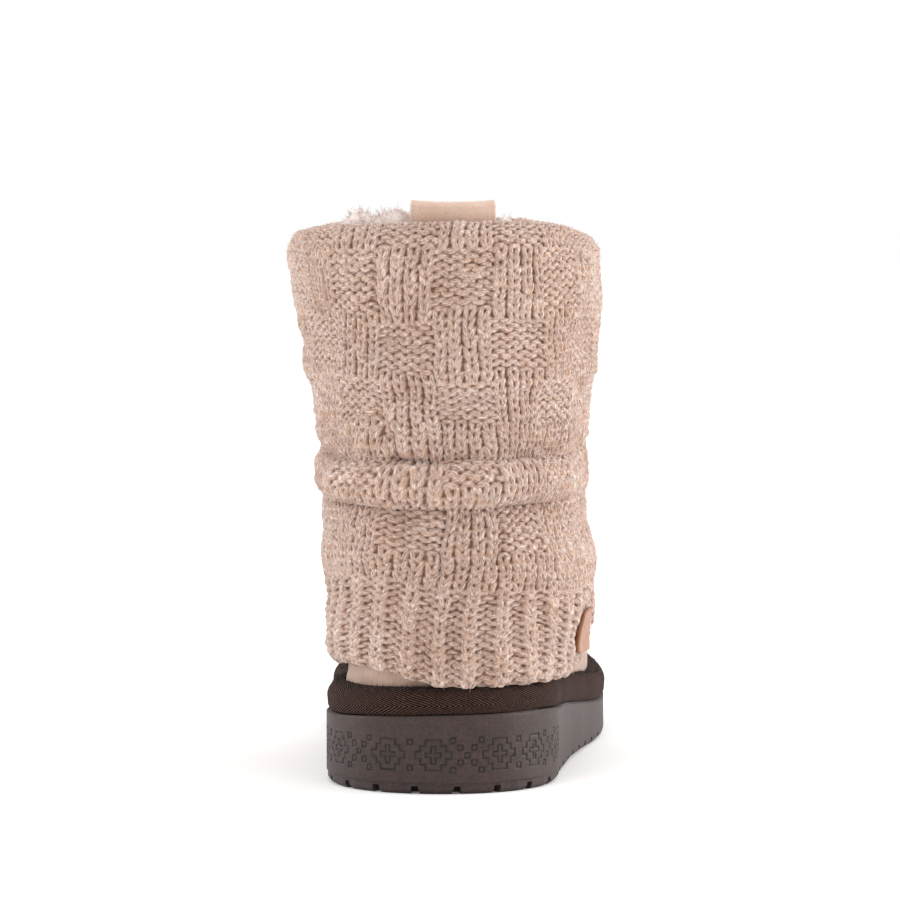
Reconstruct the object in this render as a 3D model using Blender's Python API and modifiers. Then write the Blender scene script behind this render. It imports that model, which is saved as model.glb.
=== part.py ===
"""Ankle-height sweater boot for the right foot, empty and standing on its sole.

Metres, +Z up. The toe points to +Y and the outer side of the foot is +X. The origin is the
middle of the heel's tread. Every piece takes its shape from one function of the last, the
form that the boot is made on, so upper, tape, sleeve, lining and strap follow each other.
"""
import math

import bmesh
import bpy
import numpy as np
from mathutils import Matrix, Vector

# The last, measured outside the suede. Heel and toe swing to the inner side, each over its
# span of the length.
LAST_LENGTH = 0.264
BALL_WIDTH = 0.0893
HEEL_WIDTH = 0.067
INSTEP_HEIGHT = 0.069
TOE_SWING = 0.003
HEEL_SWING = 0.002
HEEL_TO_BACK = 0.032
HEEL_SPAN = (0.15, 0.45)
TOE_SPAN = (0.45, 1.0)

# The shaft
COLLAR_HEIGHT = 0.1864
SHAFT_WIDTH = 0.0975
SHAFT_DEPTH = 0.118
UPPER_WALL = 0.0022

# The outsole. Spring, wedge and arch are placed by shares of its length from the back, and
# the taper is the notch's width at its top, as a share of that at the tread.
SOLE_MARGIN = 0.006
HEEL_THICKNESS = 0.0245
FOREFOOT_THICKNESS = 0.0135
TOE_SPRING = 0.009
ARCH_RISE = 0.0006
SOLE_EDGE = 0.0014
TOE_SPRING_START = 0.74
WEDGE_SPAN = (0.12, 0.70)
ARCH_RISING = (0.27, 0.38)
ARCH_FALLING = (0.42, 0.55)
NOTCH_PITCH = 0.0144
NOTCH_WIDTH = 0.0032
NOTCH_HEIGHT = 0.0027
NOTCH_REACH = 0.007
NOTCH_TAPER = 0.7

# The tape, whose rounding starts at its shoulder, a share of its height, and turns between
# two angles from the level in radians, and the insole
TAPE_HEIGHT = 0.010
TAPE_PROUD = 0.0004
TAPE_SHOULDER = 0.42
TAPE_TURNS = (1.2, 0.15)
INSOLE_THICKNESS = 0.004

# The knitted sleeve
KNIT_WALL = 0.004
HEM_FRONT = 0.062
RIB_HEIGHT = 0.033
RIB_RELIEF = 0.0012
BLOCK_RELIEF = 0.0010
BLOCK_HEIGHT = 0.023
TUCK_HEIGHT = 0.103
TUCK_BAND = 0.013
TUCK_BULGE = 0.0040
TUCK_FRONT_RISE = 0.016
SLOUCH = 0.003
RIM_HEIGHT = 0.0046

# The lining, the strap and the patch
FUR_DEPTH = 0.007
FUR_REACH = 0.034
FUR_RISE = 0.005
FUR_LOCK = 0.0022
LOOP_WIDTH = 0.029
LOOP_TO_SIDE = 0.003
LOOP_RISE = 0.0076
LOOP_REACH = 0.022
STRAP_THICKNESS = 0.0014
STRAP_FOLD = 0.0013
PATCH_LENGTH = 0.036
PATCH_HEIGHT = 0.015
PATCH_THICKNESS = 0.0015
PATCH_ABOVE_HEM = 0.0065
PATCH_FORWARD = 0.068

# Room between pieces that touch, and between those whose facets don't line up
GAP = 0.0003
FACET_GAP = 0.0005

SOLE_COLUMNS = 96
LAST_COLUMNS = 64
SLEEVE_COLUMNS = 72
BLOCK_COLUMNS = 4
FUR_COLUMNS = 56
LOOP_COLUMNS = 6
PATCH_COLUMNS = 8
RING_STEPS = 241
FINE_LEVELS = 90
CAP_POWER = 2.2
SHARP_ANGLE = 25.0

# The outline of the feather line, where upper meets sole: along is the share of the last's
# length from the back; rear is how far the heel's width rules there, and elsewhere the two
# half-widths are shares of the ball's width.
OUTLINE_COLUMNS = ("along", "rear", "lateral", "medial")
OUTLINE_ROWS = (
    (0.00, 1.00, 0.400, 0.320),
    (0.15, 1.00, 0.400, 0.320),
    (0.30, 0.55, 0.405, 0.330),
    (0.45, 0.20, 0.440, 0.380),
    (0.62, 0.00, 0.493, 0.445),
    (0.72, 0.00, 0.504, 0.482),
    (0.85, 0.00, 0.497, 0.488),
    (1.00, 0.00, 0.450, 0.460),
)

# Level rings of the last from the feather line to the collar. Heights are shares of the
# instep's height, then of the shaft above it. follow says how far a ring keeps to the sole's
# slope. back is a share of the heel's width, forward the way from the shaft's front to the
# toe. heel_cap and toe_cap are the rounded ends, as shares of the ring. foot mixes the
# feather line's outline with an oval of the two half-widths, shares of half the shaft.
RING_COLUMNS = ("instep", "shaft", "follow", "back", "forward", "heel_cap", "toe_cap",
                "foot", "lateral", "medial")
RING_ROWS = (
    (0.000, 0.000, 1.00, 0.000, 1.000, 0.15, 0.27, 1.00, 0.880, 0.770),
    (0.145, 0.000, 1.00, 0.000, 1.000, 0.15, 0.27, 1.00, 0.880, 0.770),
    (0.230, 0.000, 0.98, -0.012, 0.995, 0.16, 0.29, 0.97, 0.885, 0.775),
    (0.330, 0.000, 0.92, -0.020, 0.980, 0.18, 0.34, 0.85, 0.885, 0.780),
    (0.440, 0.000, 0.82, -0.020, 0.930, 0.21, 0.46, 0.60, 0.885, 0.785),
    (0.540, 0.000, 0.70, -0.012, 0.835, 0.24, 0.62, 0.35, 0.880, 0.790),
    (0.630, 0.000, 0.58, 0.000, 0.700, 0.28, 0.68, 0.15, 0.870, 0.800),
    (0.720, 0.000, 0.46, 0.012, 0.540, 0.32, 0.66, 0.05, 0.865, 0.808),
    (0.830, 0.000, 0.34, 0.025, 0.360, 0.37, 0.62, 0.00, 0.860, 0.815),
    (1.000, 0.000, 0.18, 0.042, 0.165, 0.43, 0.56, 0.00, 0.850, 0.830),
    (1.000, 0.130, 0.07, 0.055, 0.065, 0.48, 0.52, 0.00, 0.850, 0.850),
    (1.000, 0.300, 0.00, 0.060, 0.018, 0.50, 0.50, 0.00, 0.880, 0.890),
    (1.000, 0.500, 0.00, 0.050, 0.002, 0.50, 0.50, 0.00, 0.930, 0.960),
    (1.000, 0.750, 0.00, 0.030, 0.000, 0.50, 0.50, 0.00, 0.940, 1.020),
    (1.000, 1.000, 0.00, 0.015, 0.000, 0.50, 0.50, 0.00, 0.944, 1.056),
)

# How far the sleeve hangs off the shaft: place is the share of the way from hem to tuck,
# then from tuck to rim (1 to 2), and loose is a share of the slouch.
LOOSE_COLUMNS = ("place", "loose")
LOOSE_ROWS = (
    (0.00, 0.10),
    (0.06, 0.35),
    (0.30, 0.60),
    (0.50, 0.95),
    (0.70, 0.75),
    (0.88, 0.10),
    (1.00, 0.30),
    (1.12, 0.15),
    (1.22, 0.30),
    (1.36, 0.50),
    (1.44, 1.00),
    (1.62, 0.55),
    (1.80, 0.70),
    (1.92, 0.60),
    (2.00, 0.15),
)


def table(columns, rows):
    """Columns of a table by name, each as an array."""
    return dict(zip(columns, np.array(rows, dtype=float).T))


OUTLINE = table(OUTLINE_COLUMNS, OUTLINE_ROWS)
RINGS = table(RING_COLUMNS, RING_ROWS)
LOOSE = table(LOOSE_COLUMNS, LOOSE_ROWS)

SOLE_LENGTH = LAST_LENGTH + 2.0 * SOLE_MARGIN
SOLE_BACK = -HEEL_TO_BACK - SOLE_MARGIN
SEAT_HEIGHT = HEEL_THICKNESS + GAP
COLLAR_RISE = COLLAR_HEIGHT - SEAT_HEIGHT
RING_HEIGHTS = RINGS["instep"] * INSTEP_HEIGHT + RINGS["shaft"] * (COLLAR_RISE - INSTEP_HEIGHT)


def smooth(places, stations, values):
    """Smooth curve through the stations that never overshoots them (monotone cubic)."""
    steps = np.diff(stations)
    slopes = np.diff(values) / steps
    inner = np.where(
        slopes[:-1] * slopes[1:] > 0.0,
        2.0 * slopes[:-1] * slopes[1:] / np.where(slopes[:-1] + slopes[1:] == 0.0, 1.0,
                                                  slopes[:-1] + slopes[1:]),
        0.0)
    tangents = np.concatenate([slopes[:1], inner, slopes[-1:]])
    places = np.clip(places, stations[0], stations[-1])
    left = np.clip(np.searchsorted(stations, places, side="right") - 1, 0, len(steps) - 1)
    step = steps[left]
    t = (places - stations[left]) / step
    return ((2.0 * t ** 3 - 3.0 * t ** 2 + 1.0) * values[left]
            + (t ** 3 - 2.0 * t ** 2 + t) * step * tangents[left]
            + (3.0 * t ** 2 - 2.0 * t ** 3) * values[left + 1]
            + (t ** 3 - t ** 2) * step * tangents[left + 1])


def ease(places, start, end):
    """0 before the start, 1 past the end, and a soft S between."""
    t = np.clip((places - start) / (end - start), 0.0, 1.0)
    return t * t * (3.0 - 2.0 * t)


def sole_share(y):
    """Share of the sole's length that lies behind y."""
    return (y - SOLE_BACK) / SOLE_LENGTH


def toe_lift(y):
    """Rise of the sole towards the toe's tip."""
    spring = (sole_share(y) - TOE_SPRING_START) / (1.0 - TOE_SPRING_START)
    return TOE_SPRING * np.clip(spring, 0.0, None) ** 2


def sole_bottom(y):
    """Tread: flat at heel and ball, hollow at the arch, lifted at the toe."""
    share = sole_share(y)
    arch = ease(share, *ARCH_RISING) * (1.0 - ease(share, *ARCH_FALLING))
    return ARCH_RISE * arch + toe_lift(y)


def sole_top(y):
    """Top of the wedge: heel thickness easing into the forefoot's, with the toe spring."""
    drop = (HEEL_THICKNESS - FOREFOOT_THICKNESS) * ease(sole_share(y), *WEDGE_SPAN)
    return HEEL_THICKNESS - drop + toe_lift(y)


def feather(y):
    """Height of the feather line, on which upper, tape and insole stand."""
    return sole_top(y) + GAP


def foot_half(along, side):
    """Half-width of the feather line on one side, before its ends are rounded."""
    rear = smooth(along, OUTLINE["along"], OUTLINE["rear"])
    fore = smooth(along, OUTLINE["along"], OUTLINE[side])
    return rear * HEEL_WIDTH / 2.0 + (1.0 - rear) * BALL_WIDTH * fore


def end_cap(share):
    """Rounding of a ring's end: 0 at its tip, 1 where the cap is over."""
    return (1.0 - (1.0 - np.clip(share, 0.0, 1.0)) ** CAP_POWER) ** (1.0 / CAP_POWER)


def ring_half(height, side):
    """Dense half ring of the last at one height, back to front, and its length along it."""
    row = {name: smooth(height, RING_HEIGHTS, RINGS[name]) for name in RING_COLUMNS}
    back = -HEEL_TO_BACK + row["back"] * HEEL_WIDTH
    front = SHAFT_DEPTH - HEEL_TO_BACK + row["forward"] * (LAST_LENGTH - SHAFT_DEPTH)
    along = 0.5 - 0.5 * np.cos(np.linspace(0.0, math.pi, RING_STEPS))
    oval = row[side] * SHAFT_WIDTH / 2.0
    half = row["foot"] * foot_half(along, side) + (1.0 - row["foot"]) * oval
    half = half * end_cap(along / row["heel_cap"]) * end_cap((1.0 - along) / row["toe_cap"])
    y = back + along * (front - back)
    heel = HEEL_SWING * (1.0 - ease(along, *HEEL_SPAN))
    toe = TOE_SWING * ease(along, *TOE_SPAN)
    middle = -(heel + toe) * row["foot"]
    x = middle + half * (1.0 if side == "lateral" else -1.0)
    level = SEAT_HEIGHT + height
    z = level + row["follow"] * (feather(y) - SEAT_HEIGHT)
    points = np.column_stack([x, y, z])
    steps = np.hypot(np.diff(x), np.diff(y))
    return points, np.concatenate([[0.0], np.cumsum(steps)])


COLLAR_HALF = {side: ring_half(COLLAR_RISE, side)[1][-1] for side in ("lateral", "medial")}


def last_ring(height, shares):
    """Points of the last's ring at one height. A share is 0 at the middle of the back and 1
    or -1 at the middle of the front; plus is the lateral side. Near the back a share keeps
    its distance from the middle on every ring, so the columns run upright there."""
    ring = np.zeros((len(shares), 3))
    for side, chosen in (("lateral", shares >= 0.0), ("medial", shares < 0.0)):
        points, lengths = ring_half(height, side)
        place = np.abs(shares[chosen])
        extra = lengths[-1] - COLLAR_HALF[side]
        wanted = place * COLLAR_HALF[side] + extra * place ** 2
        for axis in range(3):
            ring[chosen, axis] = np.interp(wanted, lengths, points[:, axis])
    return ring


def closed_shares(half_shares):
    """Shares all the way round, from those of one half that begin at 0 and end at 1."""
    return np.concatenate([half_shares, -half_shares[-2:0:-1]])


def even_shares(count):
    """Shares that space the columns evenly along the feather line."""
    fine = np.linspace(0.0, 1.0, 400)
    ring = last_ring(0.0, fine)
    lengths = np.concatenate([[0.0], np.cumsum(np.hypot(*np.diff(ring[:, :2], axis=0).T))])
    even = np.linspace(0.0, lengths[-1], count // 2 + 1)
    return closed_shares(np.interp(even, lengths, fine))


def upright_shares(count):
    """Shares that space the columns evenly round the collar."""
    return closed_shares(np.linspace(0.0, 1.0, count // 2 + 1))


class Last:
    """The last's face on one set of columns, with its outward normals."""

    def __init__(self, shares):
        self.levels = np.linspace(0.0, COLLAR_RISE, FINE_LEVELS)
        self.points = np.array([last_ring(level, shares) for level in self.levels])
        self.normals = self.outward(shares)

    def outward(self, shares):
        """Unit normals from the differences to the neighbouring rings and columns."""
        step = 0.002
        before = np.array([last_ring(level, shares - step) for level in self.levels])
        after = np.array([last_ring(level, shares + step) for level in self.levels])
        upward = np.gradient(self.points, axis=0)
        upward[0] = (0.0, 0.0, 1.0)
        normals = np.cross(after - before, upward)
        return normals / np.linalg.norm(normals, axis=2, keepdims=True)

    def face(self, heights, offset):
        """Ring of points at a height for each column, moved out by an offset."""
        heights = np.broadcast_to(heights, self.points.shape[1:2])
        place = np.interp(heights, self.levels, np.arange(FINE_LEVELS))
        low = np.minimum(place.astype(int), FINE_LEVELS - 2)
        part = (place - low)[:, None]
        column = np.arange(self.points.shape[1])
        points = self.points[low, column] * (1.0 - part) + self.points[low + 1, column] * part
        normal = self.normals[low, column] * (1.0 - part) + self.normals[low + 1, column] * part
        return points + normal * np.broadcast_to(offset, heights.shape)[:, None]

    def shaft(self, height, offset):
        """Ring that follows the shaft's wall up to the collar and runs straight on above."""
        rise = np.broadcast_to(height, self.points.shape[1:2]) - SEAT_HEIGHT
        ring = self.face(np.minimum(rise, COLLAR_RISE), offset)
        ring[:, 2] += np.maximum(rise - COLLAR_RISE, 0.0)
        return ring

    def level(self, height, offset):
        """Ring parallel to the collar at a height above the floor, which may be above it."""
        collar = self.face(COLLAR_RISE, 0.0)
        side = self.normals[-1] * (1.0, 1.0, 0.0)
        side = side / np.linalg.norm(side, axis=1, keepdims=True)
        ring = collar + side * np.broadcast_to(offset, collar.shape[:1])[:, None]
        ring[:, 2] = height
        return ring


def material(name, colour, roughness):
    """Plain Principled finish in linear RGB."""
    finish = bpy.data.materials.new(name)
    finish.use_nodes = True
    shader = finish.node_tree.nodes["Principled BSDF"]
    shader.inputs["Base Color"].default_value = (*colour, 1.0)
    shader.inputs["Roughness"].default_value = roughness
    finish.diffuse_color = (*colour, 1.0)
    return finish


def add(name, mesh, collection, finish):
    """Object for a finished mesh, with its faces turned outwards and shaded smooth."""
    shape = bmesh.new()
    shape.from_mesh(mesh)
    bmesh.ops.recalc_face_normals(shape, faces=shape.faces)
    shape.to_mesh(mesh)
    shape.free()
    mesh.shade_smooth()
    mesh.set_sharp_from_angle(angle=math.radians(SHARP_ANGLE))
    mesh.materials.append(finish)
    piece = bpy.data.objects.new(name, mesh)
    collection.objects.link(piece)
    return piece


def ring_mesh(name, rings):
    """Closed ring of material: the rings follow the profile round, the last joins the first."""
    rings = np.array(rings)
    rows, columns = rings.shape[:2]
    row, column = np.meshgrid(np.arange(rows), np.arange(columns), indexing="ij")
    next_row = (row + 1) % rows
    next_column = (column + 1) % columns
    faces = np.stack([row * columns + column, row * columns + next_column,
                      next_row * columns + next_column, next_row * columns + column], axis=-1)
    mesh = bpy.data.meshes.new(name)
    mesh.from_pydata(rings.reshape(-1, 3).tolist(), [], faces.reshape(-1, 4).tolist())
    return mesh


def slab_mesh(name, rings):
    """Solid foot-shaped slab: rings from the bottom up, closed by bars across the foot that
    join the two columns at the same share of each side."""
    rings = np.array(rings)
    rows, columns = rings.shape[:2]
    half = columns // 2
    faces = []
    for row in range(rows - 1):
        for column in range(columns):
            after = (column + 1) % columns
            faces.append((row * columns + column, row * columns + after,
                          (row + 1) * columns + after, (row + 1) * columns + column))
    for base in (0, (rows - 1) * columns):
        for step in range(half):
            right = (base + step, base + step + 1)
            left = (base + (columns - step - 1) % columns, base + (columns - step) % columns)
            bar = [right[0], right[1], left[0], left[1]]
            faces.append(tuple(dict.fromkeys(bar)))
    mesh = bpy.data.meshes.new(name)
    mesh.from_pydata(rings.reshape(-1, 3).tolist(), [], faces)
    return mesh


def sheet_mesh(name, rows):
    """Open sheet of material from a grid of points."""
    rows = np.array(rows)
    count, width = rows.shape[:2]
    corner = np.arange(count - 1)[:, None] * width + np.arange(width - 1)[None, :]
    faces = np.stack([corner, corner + 1, corner + width + 1, corner + width], axis=-1)
    mesh = bpy.data.meshes.new(name)
    mesh.from_pydata(rows.reshape(-1, 3).tolist(), [], faces.reshape(-1, 4).tolist())
    return mesh


def outset(ring, distance):
    """Plan outline moved out along its own normals by a distance."""
    along = np.roll(ring, -1, axis=0) - np.roll(ring, 1, axis=0)
    side = np.column_stack([along[:, 1], -along[:, 0], np.zeros(len(ring))])
    side = side / np.linalg.norm(side, axis=1, keepdims=True)
    return ring + side * distance


def with_heights(ring, heights):
    """The same outline at other heights."""
    return np.column_stack([ring[:, :2], heights])


def notch_cutters(outline, collection):
    """Tapered blocks round the tread's edge, one object: each leaves a notch between lugs."""
    closed = np.vstack([outline, outline[:1]])
    lengths = np.concatenate([[0.0], np.cumsum(np.hypot(*np.diff(closed[:, :2], axis=0).T))])
    count = int(round(lengths[-1] / NOTCH_PITCH))
    shape = bmesh.new()
    for index in range(count):
        place = (index + 0.5) * lengths[-1] / count
        x, y = (np.interp(place, lengths, closed[:, axis]) for axis in range(2))
        ahead = np.array([np.interp(place + NOTCH_WIDTH, lengths, closed[:, axis])
                          for axis in range(2)])
        heading = math.atan2(ahead[1] - y, ahead[0] - x)
        depth = 2.0 * NOTCH_HEIGHT
        turn = Matrix.Rotation(heading, 4, "Z")
        spot = Matrix.Translation(Vector((x, y, float(sole_bottom(y)))))
        square = Matrix.Rotation(math.radians(45.0), 4, "Z")
        size = Matrix.Diagonal((1.0, 2.0 * NOTCH_REACH / NOTCH_WIDTH, 1.0, 1.0))
        bmesh.ops.create_cone(
            shape, cap_ends=True, segments=4, depth=depth,
            radius1=(2.0 - NOTCH_TAPER) * NOTCH_WIDTH / math.sqrt(2.0),
            radius2=NOTCH_TAPER * NOTCH_WIDTH / math.sqrt(2.0),
            matrix=spot @ turn @ size @ square)
    mesh = bpy.data.meshes.new("notches")
    shape.to_mesh(mesh)
    shape.free()
    cutter = bpy.data.objects.new("notches", mesh)
    cutter.hide_render = True
    cutter.display_type = "WIRE"
    collection.objects.link(cutter)
    return cutter


def outsole(collection, cutters):
    """Wedge slab on the outline of the last plus the margin, with rounded tread and top
    edges, and notches cut between its lugs."""
    line = outset(last_ring(0.0, even_shares(SOLE_COLUMNS)), SOLE_MARGIN)
    low = outset(line, -SOLE_EDGE)
    y = line[:, 1]
    rings = [
        with_heights(low, sole_bottom(low[:, 1])),
        with_heights(line, sole_bottom(y) + SOLE_EDGE),
        with_heights(line, sole_top(y) - SOLE_EDGE / 2.0),
        with_heights(outset(line, -SOLE_EDGE / 2.0), sole_top(y)),
    ]
    piece = add("outsole", slab_mesh("outsole", rings), collection,
                material("moulded_rubber", (0.075, 0.058, 0.055), 0.7))
    cut = piece.modifiers.new("notches", "BOOLEAN")
    cut.operation = "DIFFERENCE"
    cut.solver = "EXACT"
    cut.object = notch_cutters(line, cutters)


def foxing_tape(collection):
    """Roll round the joint of upper and sole: upright inside, rounded outside and on top."""
    line = last_ring(0.0, even_shares(LAST_COLUMNS))
    reach = SOLE_MARGIN + TAPE_PROUD
    profile = [(GAP, TAPE_HEIGHT)]
    for turn in np.linspace(*TAPE_TURNS, 5):
        out = GAP + (reach - GAP) * math.cos(turn)
        rise = TAPE_SHOULDER + (1.0 - TAPE_SHOULDER) * math.sin(turn)
        profile.append((out, TAPE_HEIGHT * rise))
    profile.extend([(reach - TAPE_PROUD, 0.0), (GAP, 0.0)])
    rings = []
    for out, rise in profile:
        ring = outset(line, out)
        rings.append(with_heights(ring, feather(ring[:, 1]) + rise))
    add("foxing_tape", ring_mesh("foxing_tape", rings), collection,
        material("twill_tape", (0.042, 0.023, 0.017), 0.85))


def insole(last, collection):
    """Footbed that fills the inside of the upper at the feather line."""
    outer = last.face(0.0, -UPPER_WALL - GAP)
    low = feather(outer[:, 1])
    rings = [with_heights(outer, low), with_heights(outer, low + INSOLE_THICKNESS)]
    add("insole", slab_mesh("insole", rings), collection,
        material("pile_insole", (0.62, 0.52, 0.46), 0.95))


def upper(last, collection):
    """Suede foot and shaft in one wall, open at the collar and underneath."""
    outer_foot = np.array((0.0, 0.145, 0.26, 0.38, 0.49, 0.60, 0.73, 0.86)) * INSTEP_HEIGHT
    inner_foot = np.array((0.0, 0.145, 0.38, 0.60, 0.86)) * INSTEP_HEIGHT
    shaft = np.array((0.0, 0.14, 0.32, 0.60, 1.0)) * (COLLAR_RISE - INSTEP_HEIGHT)
    shaft = shaft + INSTEP_HEIGHT
    outer = [last.face(level, 0.0) for level in (*outer_foot, *shaft)]
    inner = [last.face(level, -UPPER_WALL) for level in (*shaft[::-1], *inner_foot[::-1])]
    inner[0][:, 2] = outer[-1][:, 2]
    inner[-1][:, 2] = feather(inner[-1][:, 1])
    outer[0][:, 2] = feather(outer[0][:, 1])
    add("upper", ring_mesh("upper", outer + inner), collection,
        material("suede", (0.52, 0.37, 0.27), 0.95))


def hem_heights(shares):
    """Height of the sleeve's hem on the last: on the tape at the back, up to the instep."""
    back = TAPE_HEIGHT + GAP
    return back + (HEM_FRONT - back) * ease(np.abs(shares), 0.28, 1.0)


def sleeve_heights(shares, place):
    """Height on the last of one course of the sleeve: 0 hem, 1 tuck, 2 collar."""
    hem = hem_heights(shares)
    tuck = TUCK_HEIGHT - SEAT_HEIGHT + TUCK_FRONT_RISE * np.abs(shares) ** 2
    lower = hem + (tuck - hem) * min(place, 1.0)
    return lower + (COLLAR_RISE - tuck) * max(place - 1.0, 0.0)


def sleeve_loose(place):
    """How far the sleeve's inner face stands off the shaft at one course."""
    return FACET_GAP + SLOUCH * float(smooth(np.array(place), LOOSE["place"], LOOSE["loose"]))


def sleeve_relief(shares, place):
    """Ribs at the hem, raised and sunk blocks above it, and the tuck's ridge."""
    column = np.arange(len(shares))
    above_hem = (TUCK_HEIGHT - SEAT_HEIGHT - TAPE_HEIGHT) * place
    if place < 1.0 and above_hem < RIB_HEIGHT:
        return RIB_RELIEF * (column % 2 == 0) * (0.3 if place == 0.0 else 1.0)
    half_band = 0.5 * TUCK_BAND / (TUCK_HEIGHT - SEAT_HEIGHT - TAPE_HEIGHT)
    if abs(place - 1.0) < half_band:
        swell = math.cos((place - 1.0) / half_band * math.pi / 2.0)
        return np.full(len(shares), TUCK_BULGE * swell ** 0.5)
    rise = place * (TUCK_HEIGHT - SEAT_HEIGHT - TAPE_HEIGHT)
    if place > 1.0:
        rise = TUCK_HEIGHT + (place - 1.0) * (COLLAR_HEIGHT - TUCK_HEIGHT)
    shift = (column // BLOCK_COLUMNS) % 2
    raised = (np.floor(rise / BLOCK_HEIGHT).astype(int) + shift) % 2
    return BLOCK_RELIEF * raised


def sleeve_face(last, shares, place, extra):
    """Ring of the sleeve at one course, a given amount further out than its inner face."""
    return last.face(sleeve_heights(shares, place), sleeve_loose(place) + extra)


def knit_sleeve(last, shares, collection):
    """Knitted tube over the shaft: ribbed hem, blocks, tuck ridge, and a rim rolled over the
    collar's edge to its inner face."""
    outside = (0.0, 0.06, 0.25, 0.44, 0.50, 0.68, 0.84, 0.91, 0.95, 1.0, 1.05, 1.09, 1.2,
               1.32, 1.44, 1.56, 1.68, 1.80, 1.92)
    inside = (2.0, 1.65, 1.3, 1.0, 0.5, 0.0)
    rings = [sleeve_face(last, shares, place, KNIT_WALL + sleeve_relief(shares, place))
             for place in outside]
    top = COLLAR_HEIGHT + GAP
    rim = (
        (0.85, 0.10),
        (0.70, 0.72),
        (0.25, 1.00),
        (-0.25, 0.85),
        (-0.52, 0.00),
    )
    for out, rise in rim:
        offset = out * (KNIT_WALL + GAP)
        rings.append(last.level(top + rise * RIM_HEIGHT, offset))
    rings.append(last.level(top, sleeve_loose(2.0)))
    rings.extend(sleeve_face(last, shares, place, 0.0) for place in inside[1:])
    add("knit_sleeve", ring_mesh("knit_sleeve", rings), collection,
        material("heathered_knit", (0.60, 0.47, 0.40), 0.95))


def fur_collar(collection):
    """Pile lining that fills the collar and stands out of it, with locks drawn out of its
    top and inner face, and a recess at the back for the strap."""
    shares = upright_shares(FUR_COLUMNS)
    last = Last(shares)
    column = np.arange(FUR_COLUMNS)
    distance = np.abs(shares * COLLAR_HALF["lateral"] - LOOP_TO_SIDE)
    spacing = 2.0 * COLLAR_HALF["lateral"] / FUR_COLUMNS
    recess = 1.0 - ease(distance, 0.5 * LOOP_WIDTH + spacing, 0.5 * LOOP_WIDTH + 2.0 * spacing)
    face = -(UPPER_WALL + FACET_GAP)
    outer = face - recess * (2.0 * STRAP_THICKNESS + STRAP_FOLD + GAP)
    inner = face - FUR_DEPTH
    top = COLLAR_HEIGHT + GAP + RIM_HEIGHT + FUR_RISE
    rows = (
        (0.00, -FUR_REACH, 0.0),
        (0.00, -FUR_RISE - RIM_HEIGHT, 0.0),
        (0.10, -0.25 * FUR_RISE, 0.3),
        (0.45, 0.0, 1.0),
        (0.80, -0.12 * FUR_RISE, 1.0),
        (1.00, -0.9 * FUR_RISE, 1.0),
        (1.10, -2.2 * FUR_RISE, 1.0),
        (1.00, -0.62 * FUR_REACH, 0.6),
        (0.80, -FUR_REACH, 0.0),
    )
    rings = []
    for row, (across, rise, drawn) in enumerate(rows):
        lock = FUR_LOCK * drawn * ((column + row) % 2) * (0.6 + 0.4 * np.cos(2.4 * column))
        offset = outer + across * (inner - outer) - lock * min(across, 0.6)
        rings.append(last.shaft(top + rise + lock * (1.0 - min(across, 1.0)), offset))
    add("fur_collar", ring_mesh("fur_collar", rings), collection,
        material("pile_lining", (0.78, 0.68, 0.62), 1.0))


def pull_loop(collection):
    """Strap folded into a standing loop between the collar's inner face and the lining."""
    half = 0.5 * LOOP_WIDTH / COLLAR_HALF["lateral"]
    middle = LOOP_TO_SIDE / COLLAR_HALF["lateral"]
    last = Last(middle + np.linspace(-half, half, LOOP_COLUMNS + 1))
    outer = UPPER_WALL + FACET_GAP + 0.5 * STRAP_THICKNESS
    span = STRAP_THICKNESS + STRAP_FOLD
    crest = COLLAR_HEIGHT + GAP + RIM_HEIGHT + LOOP_RISE - 0.5 * (STRAP_THICKNESS + span)
    foot = COLLAR_HEIGHT - LOOP_REACH
    path = [(outer, foot), (outer, COLLAR_HEIGHT), (outer, crest)]
    for turn in np.linspace(math.pi, 0.0, 7)[1:-1]:
        path.append((outer + 0.5 * span * (1.0 + math.cos(turn)),
                     crest + 0.5 * span * math.sin(turn)))
    path.extend([(outer + span, crest), (outer + span, COLLAR_HEIGHT), (outer + span, foot)])
    rows = [last.shaft(height, -inwards) for inwards, height in path]
    piece = add("pull_loop", sheet_mesh("pull_loop", rows), collection,
                material("strap_suede", (0.60, 0.44, 0.34), 0.8))
    wall = piece.modifiers.new("strap", "SOLIDIFY")
    wall.thickness = STRAP_THICKNESS
    wall.offset = 0.0
    wall.use_even_offset = True


def leather_patch(collection):
    """Bare leather plate on the ribbed hem, on the outer side of the ankle."""
    middle = -HEEL_TO_BACK + PATCH_FORWARD
    columns = np.linspace(middle - 0.5 * PATCH_LENGTH, middle + 0.5 * PATCH_LENGTH, PATCH_COLUMNS)
    fine = np.linspace(0.0, 1.0, 200)
    tuck = TUCK_HEIGHT - SEAT_HEIGHT
    bottom = np.interp(middle, last_ring(TAPE_HEIGHT, fine)[:, 1], hem_heights(fine))
    rows = []
    for height in bottom + PATCH_ABOVE_HEM + np.linspace(0.0, PATCH_HEIGHT, 4):
        shares = np.interp(columns, last_ring(height, fine)[:, 1], fine)
        place = np.clip((height - hem_heights(shares)) / (tuck - hem_heights(shares)), 0.0, 1.0)
        loose = FACET_GAP + SLOUCH * smooth(place, LOOSE["place"], LOOSE["loose"])
        outside = loose + KNIT_WALL + RIB_RELIEF + FACET_GAP
        rows.append(Last(shares).face(height, outside))
    piece = add("leather_patch", sheet_mesh("leather_patch", rows), collection,
                material("tan_leather", (0.43, 0.21, 0.12), 0.55))
    wall = piece.modifiers.new("plate", "SOLIDIFY")
    wall.thickness = PATCH_THICKNESS
    wall.offset = 1.0


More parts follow.
